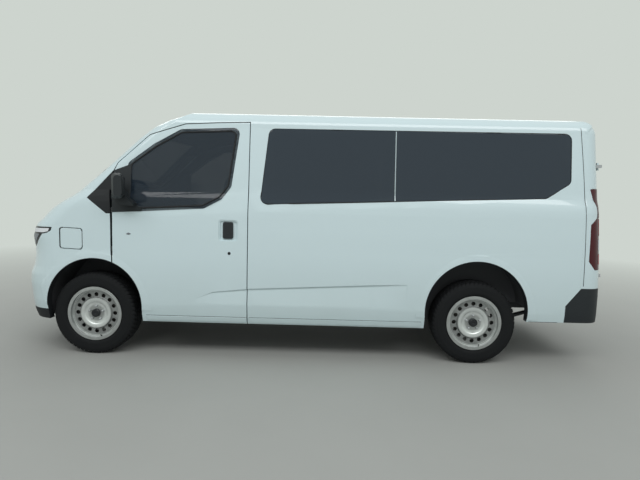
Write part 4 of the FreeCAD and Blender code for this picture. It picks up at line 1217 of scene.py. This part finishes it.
for name, pivot, foot, far_end, near_end, height in WIPERS:
    line = [far_end + (near_end - far_end) * step / WIPER_STEPS for step in range(WIPER_STEPS + 1)]
    blade = [off_glass(y, height + 0.012, 0.007) for y in line]
    spine = [off_glass(y, height + 0.010, 0.016) for y in line[1:-1]]
    tube(f"wiper_blade_{name}", blade, 0.0055, rubber_seal, "body")
    tube(f"wiper_spine_{name}", spine, 0.0032, gloss_black, "body")
    middle = (far_end + near_end) / 2
    arm = [off_glass(pivot, foot, 0.010), off_glass(pivot - 0.02, foot + 0.03, 0.022)]
    arm.append(off_glass((pivot + middle) / 2, height - 0.01, 0.026))
    arm.append(off_glass(middle, height + 0.011, 0.019))
    tube(f"wiper_arm_{name}", arm, 0.0055, black_plastic, "body")
    foot_spot = off_glass(pivot, foot, 0.004)
    turned(f"wiper_pivot_{name}", PIVOT_CAP, foot_spot, 1, black_plastic, "body", 24, 0.001)
print("wipers:", len(WIPERS))

# %% [markdown]
# Four shallow ribs stiffen the roof. They are sheets of the same paint, laid on the roof in the top
# view. On the right side a steel rail lies in the channel that guides the sliding door's rear roller.

# %% Roof ribs and sliding rail
RIBS = (-0.58, -0.38, 0.38, 0.58)
RIB_HALF = 0.035
RAIL_PARTS = (
    # name, low corner, high corner, finish, edge rounding
    ("slide_rail", (-2.070, -0.880, 1.0905), (-0.800, -0.8665, 1.0965), brake_steel, 0.001),
    ("slide_rail_lip", (-2.070, -0.872, 1.1135), (-0.800, -0.8665, 1.1195), brake_steel, 0.001),
    ("slide_roller_arm", (-0.836, -0.878, 1.0985), (-0.790, -0.868, 1.1115), gloss_black, 0.002),
)
for index, across in enumerate(RIBS):
    rib = rectangle(-2.05, 0.85, across - RIB_HALF, across + RIB_HALF)
    laid_sheet(f"roof_rib_{index}", "top", rib, 0.03, 0.0, 0.0025, paint, "body", 0.0012)
for name, low, high, finish, edge in RAIL_PARTS:
    box_piece(name, low, high, finish, "body", edge)
print("roof ribs:", len(RIBS))

# %% [markdown]
# Every seat is foam under a woven cover. A pad is built as a rounded block: the six faces of a grid
# cube are pulled towards a superellipsoid, which crowns each face, and its sides draw in a little
# between the corners. Valleys pressed into the front face are the sewn channels, and thin cords lie in
# the long ones as piping.

# %% Pad helper
PAD_GRID = 26
PAD_POWER = 7.0
CHANNEL_DEPTH = 0.007
CHANNEL_WIDTH = 0.007
DRAW_IN = 0.012
CROWN = 0.18
PIPING_STEPS = 24


def pad_spot(form, u, v, w):
    """One point of a pad: u across, v along it and w through it, each from -1 to 1."""
    turn, origin, half, sideways, lengthways = form
    size = (abs(u) ** PAD_POWER + abs(v) ** PAD_POWER + abs(w) ** PAD_POWER) ** (1 / PAD_POWER)
    spot = Vector((u / size * half[0], v / size * half[1], w / size * half[2]))
    spot.x *= 1 - DRAW_IN * (1 - v * v)
    spot.y *= 1 - DRAW_IN * (1 - u * u)
    crown = CROWN * half[2] * (u * u + v * v) / 2
    front = max(0.0, w) ** 4
    spot.z -= crown * front
    valley = 0.0
    for line in sideways:
        valley = max(valley, math.exp(-(((u - line) * half[0] / CHANNEL_WIDTH) ** 2)))
    inner = min((abs(line) for line in sideways), default=1.0)
    for line in lengthways:
        if abs(u) < inner:
            valley = max(valley, 0.7 * math.exp(-(((v - line) * half[1] / CHANNEL_WIDTH) ** 2)))
    spot.z -= CHANNEL_DEPTH * valley * front
    return origin + turn @ spot


def pad(name, form):
    """A cushion; its form is the turn, the middle, the half sizes, and the seams that run each way."""
    points = []
    faces = []
    for fixed, sign in product(range(3), (-1, 1)):
        start = len(points)
        for row, column in product(range(PAD_GRID + 1), repeat=2):
            spot = [0.0, 0.0, 0.0]
            spot[fixed] = sign
            spot[(fixed + 1) % 3] = 2 * row / PAD_GRID - 1
            spot[(fixed + 2) % 3] = 2 * column / PAD_GRID - 1
            points.append(pad_spot(form, *spot))
        for row, column in product(range(PAD_GRID), repeat=2):
            first = start + row * (PAD_GRID + 1) + column
            below = first + PAD_GRID + 1
            faces.append((first, first + 1, below + 1, below))
    piece = mesh_piece(name, points, faces, cloth, "body")
    return piece


def piping(name, form, line):
    """A thin cord along a long seam of a pad, short of its ends."""
    stops = [1.9 * step / PIPING_STEPS - 0.95 for step in range(PIPING_STEPS + 1)]
    return tube(name, [pad_spot(form, line, stop, 1.0) for stop in stops], 0.0018, seam_thread, "body")


seam_thread = Finish("seam_thread", "seat_fabric", sheen_weight=0.3, roughness=0.8)
seam_thread.set("Base Color", linear(96, 100, 106))
seam_thread.bump(seam_thread.noise(900, 2), 0.4, 0.0004)
print("pad helper ready, quads in one pad:", 6 * PAD_GRID * PAD_GRID)

# %% [markdown]
# There are eight seats: two in front and two rows of three. Each is a squab, a leaning back and a head
# rest on two steel posts, standing on a moulded plinth, with a cover over the recliner on each side of
# its hip. The plain solid of the seats gives way to these pieces.

# %% Sizes of the seats
SEATS = (
    # name, front edge, middle across, width
    ("driver", 1.180, 0.420, 0.480),
    ("codriver", 1.180, -0.420, 0.480),
    ("second_left", 0.150, 0.510, 0.440),
    ("second_middle", 0.150, 0.000, 0.440),
    ("second_right", 0.150, -0.510, 0.440),
    ("third_left", -0.700, 0.390, 0.370),
    ("third_middle", -0.700, 0.000, 0.370),
    ("third_right", -0.700, -0.390, 0.370),
)
SIDE_SEAMS = (-0.58, 0.58)
CROSS_SEAMS = (-0.45, 0.0, 0.45)
HIP_GAP = 0.003
HEAD_HALF = (0.122, 0.068, 0.036)
HEAD_SPOT = (-0.5625, 1.573)
POST_SPOT = (-0.548, 1.445)
POST_APART = 0.06
POST_RISE = Vector((-0.012, 0, 0.09))
RECLINER = ((-0.330, 0.800), (-0.500, 0.800), (-0.515, 0.935), (-0.440, 0.985), (-0.350, 0.900))
RECLINER_THICK = 0.016
PLINTH = ((-0.425, 0.562), (-0.065, 0.800))
PLINTH_INSET = 0.03


def seat_axes(tilt, upright=False):
    """A pad's turn: columns across, along and through. Its face looks up, or ahead where upright."""
    through = Vector((math.cos(tilt), 0, math.sin(tilt)))
    if not upright:
        through = Vector((-math.sin(tilt), 0, math.cos(tilt)))
    through.normalize()
    across = Vector((0, 1, 0))
    return Matrix((across, through.cross(across), through)).transposed()


print("a squab's face looks along:", [round(part, 3) for part in seat_axes(math.radians(5.0)).col[2]])

# %% [markdown]
# Squab and back have seams along both sides and across; the head rest has only one. Every place on a
# seat is counted from its front edge and its middle, so one function makes all eight, wide in front and
# narrow behind.

# %% Seats
BIG_PADS = (
    # part, turn, its middle behind the front edge and over the ground, half length, half thickness
    ("squab", seat_axes(math.radians(5.0)), (-0.194, 0.852), 0.196, 0.056),
    ("back", seat_axes(math.radians(10.6), True), (-0.4955, 1.172), 0.296, 0.056),
)
HEAD_TURN = seat_axes(math.radians(9.0), True)


def seat(name, front, middle, width):
    """One seat; every place on it is counted from its front edge and its middle."""
    forms = {}
    for part, turn, (behind, height), half_length, half_thick in BIG_PADS:
        half = (width / 2 - HIP_GAP, half_length, half_thick)
        forms[part] = (turn, Vector((front + behind, middle, height)), half, SIDE_SEAMS, CROSS_SEAMS)
    squab = pad(f"{name}_squab", forms["squab"])
    pad(f"{name}_back", forms["back"])
    head_spot = Vector((front + HEAD_SPOT[0], middle, HEAD_SPOT[1]))
    pad(f"{name}_head_rest", (HEAD_TURN, head_spot, HEAD_HALF, (), (0.0,)))
    for side, way in SIDES:
        for part, form in forms.items():
            piping(f"{name}_{part}_piping_{side}", form, SIDE_SEAMS[1] if way > 0 else SIDE_SEAMS[0])
        foot = Vector((front + POST_SPOT[0], middle + way * POST_APART, POST_SPOT[1]))
        tube(f"{name}_head_post_{side}", [foot, foot + POST_RISE], 0.006, brake_steel, "body")
        outline = [(front + x, z) for x, z in RECLINER]
        outer = middle + way * width / 2
        depths = (outer - way * RECLINER_THICK, outer)
        cover = f"{name}_recliner_{side}"
        plate(cover, across_body, outline, 0.03, depths, cabin_plastic, "body", 0.004)
    (back_edge, foot_height), (front_edge, top_height) = PLINTH
    low = (front + back_edge, middle - width / 2 + PLINTH_INSET, foot_height)
    high = (front + front_edge, middle + width / 2 - PLINTH_INSET, top_height)
    box_piece(f"{name}_plinth", low, high, cabin_plastic, "body", 0.012)
    return squab


for name, front, middle, width in SEATS:
    cushion = seat(name, front, middle, width)
    if name == "driver":
        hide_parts("seats")
print("seats:", len(SEATS))

# %% [markdown]
# A door card is a sheet of moulded plastic on the inside of the door, so its rays start in the cabin.
# It carries an arm rest, a lever and a round speaker grille.

# %% Door cards
CARD = ((1.250, 0.640), (0.640, 0.640), (0.640, 1.150), (1.250, 1.130))
CARD_LIFT = 0.0005
CARD_THICK = 0.006
ARM_REST = ((0.700, 0.945), (1.080, 1.000))
ARM_REST_WALL = (0.95, 0.85)
ARM_REST_DEEP = 0.048
SPEAKER = (1.120, 0.750)
SPEAKER_RINGS = (
    (0.0, 0.072), (-0.004, 0.070), (-0.004, 0.010), (-0.006, 0.006), (-0.006, 0.0005), (0.0, 0.0005),
)
LEVER = (1.14, 1.03)
for side, way in SIDES:
    body = f"front_door_{side}"
    view = f"inside_{side}"
    laid_sheet(f"door_card_{side}", view, CARD, 0.05, CARD_LIFT, CARD_THICK, cabin_plastic, body, 0.003)
    wall = on_skin(view, *ARM_REST_WALL, 0.004).y
    (rear, low), (front, high) = ARM_REST
    near, far = sorted((wall, wall - way * ARM_REST_DEEP))
    box_piece(f"arm_rest_{side}", (rear, near, low), (front, far, high), gloss_black, body, 0.014)
    face = on_skin(view, *SPEAKER, CARD_THICK)
    turned(f"speaker_{side}", SPEAKER_RINGS, face, way, black_plastic, body, 48, 0.001)
    lever = on_skin(view, *LEVER, 0.016)
    bend = ((-0.05, 0.0), (0.0, 0.004), (0.045, 0.0))
    ends = [lever + Vector((step, -way * bulge, 0)) for step, bulge in bend]
    tube(f"inner_lever_{side}", ends, 0.007, brake_steel, body)
print("inner face of a door:", round(on_skin("inside_left", 1.0, 0.9).y, 4))

# %% [markdown]
# In front stand the instruments: a screen between four air vents, set on the slanting face of the
# dashboard, and the pad in the middle of the wheel, which is lofted through four rings that narrow
# towards the driver.

# %% Instruments and wheel pad
DASH_FOOT = (1.302, 1.04)
DASH_LEAN = 0.15
SCREEN = rectangle(-0.130, 0.130, 1.085, 1.215)
VENTS = (-0.68, -0.20, 0.20, 0.68)
VENT_HALF = 0.052
VENT_BAR_LOW = 1.136
VENT_BAR_PITCH = 0.0165
WHEEL_SPOT = Vector((1.175, 0.380, 1.180))
WHEEL_TURN = seat_axes(math.radians(180 - 32), True)
WHEEL_PAD = ((-0.075, -0.05), (0.075, -0.05), (0.062, 0.062), (-0.062, 0.062))
# Rings of the wheel pad: height along its axis, share of its outline
WHEEL_PAD_RISES = ((-0.030, 0.9), (0.004, 1.0), (0.016, 0.92), (0.020, 0.6))


def dash_face(across, up, depth):
    """The side of the dashboard that faces the seats leans forward with height."""
    return Vector((DASH_FOOT[0] + (up - DASH_FOOT[1]) * DASH_LEAN - depth, across, up))


plate("centre_screen", dash_face, SCREEN, 0.012, (0.0, 0.016), gloss_black, "body", 0.002)
for index, middle in enumerate(VENTS):
    outline = rectangle(middle - VENT_HALF, middle + VENT_HALF, 1.120, 1.185)
    plate(f"air_vent_{index}", dash_face, outline, 0.018, (0.0, 0.010), black_plastic, "body", 0.002)
    for bar in range(3):
        height = VENT_BAR_LOW + VENT_BAR_PITCH * bar
        ends = [dash_face(middle + reach, height, 0.012) for reach in (-0.042, 0.042)]
        tube(f"air_vent_{index}_bar_{bar}", ends, 0.0025, gloss_black, "body")
ring = rounded_outline(WHEEL_PAD, 0.03)
hub_points = [
    WHEEL_SPOT + WHEEL_TURN @ Vector((spot.x * reach, spot.y * reach, rise))
    for rise, reach in WHEEL_PAD_RISES
    for spot in ring
]
faces = ring_faces(len(WHEEL_PAD_RISES), len(ring), capped=True)
mesh_piece("wheel_pad", hub_points, faces, cabin_plastic, "body", 0.002)
print("air vents:", len(VENTS))

# %% [markdown]
# A folded flange closes the foot of the sides and catches the light as a bright line. It runs along
# both front doors, then along the body ahead of the rear wheel and behind it. Where the side turns into
# the tail, a narrow dark joint shows the edge of the corner panel.

# %% Sill flange and corner joint
SILL_LOW = 0.300
SILL_HIGH = 0.338
SILL_THICK = 0.006
SILL_RUNS = (
    # part, foot from and to, top from and to, joint from and to
    ("door", 1.250, 0.450, 1.262, 0.450, 1.262, 0.450),
    ("middle", 0.430, -0.945, 0.430, -0.958, 0.430, -0.956),
    ("rear", -1.815, -2.035, -1.805, -2.035, -1.807, -2.035),
)
SILL_STEPS = 24
JOINT_FOOT = (-2.215, 0.665)
JOINT_LEAN = 0.055
JOINT_TALL = 1.240
JOINT_STEPS = 40


def spread(start, end, steps):
    """Places at even steps from one to another, both included."""
    return [start + (end - start) * step / steps for step in range(steps + 1)]


for side, way in SIDES:
    carriers = {"door": f"front_door_{side}", "middle": "body", "rear": "body"}
    for part, foot_start, foot_end, top_start, top_end, _, _ in SILL_RUNS:
        foot = ((foot_start, SILL_LOW), (foot_end, SILL_LOW))
        top = ((top_end, SILL_HIGH), (top_start, SILL_HIGH))
        name = f"sill_{part}_{side}"
        laid_sheet(name, side, foot + top, 0.003, 0.0, SILL_THICK, paint, carriers[part], 0.003)
    for part, _, _, _, _, start, end in SILL_RUNS:
        joint = [on_skin(side, along, SILL_HIGH + 0.0015) for along in spread(start, end, SILL_STEPS)]
        tube(f"sill_joint_{part}_{side}", joint, 0.0016, rubber_seal, carriers[part])
    corner_line = []
    for step in range(JOINT_STEPS + 1):
        rise = step / JOINT_STEPS
        along = JOINT_FOOT[0] + JOINT_LEAN * rise**2
        corner_line.append(on_skin(side, along, JOINT_FOOT[1] + JOINT_TALL * rise))
    tube(f"corner_joint_{side}", corner_line, 0.0022, rubber_seal, "body")
across = [0.70 - 0.05 * step for step in range(29)]
top_line = [on_skin("top", JOINT_FOOT[0] + JOINT_LEAN, y, -0.001) for y in across]
tube("corner_joint_top", top_line, 0.0018, rubber_seal, "body")
print("flanges and joints laid")
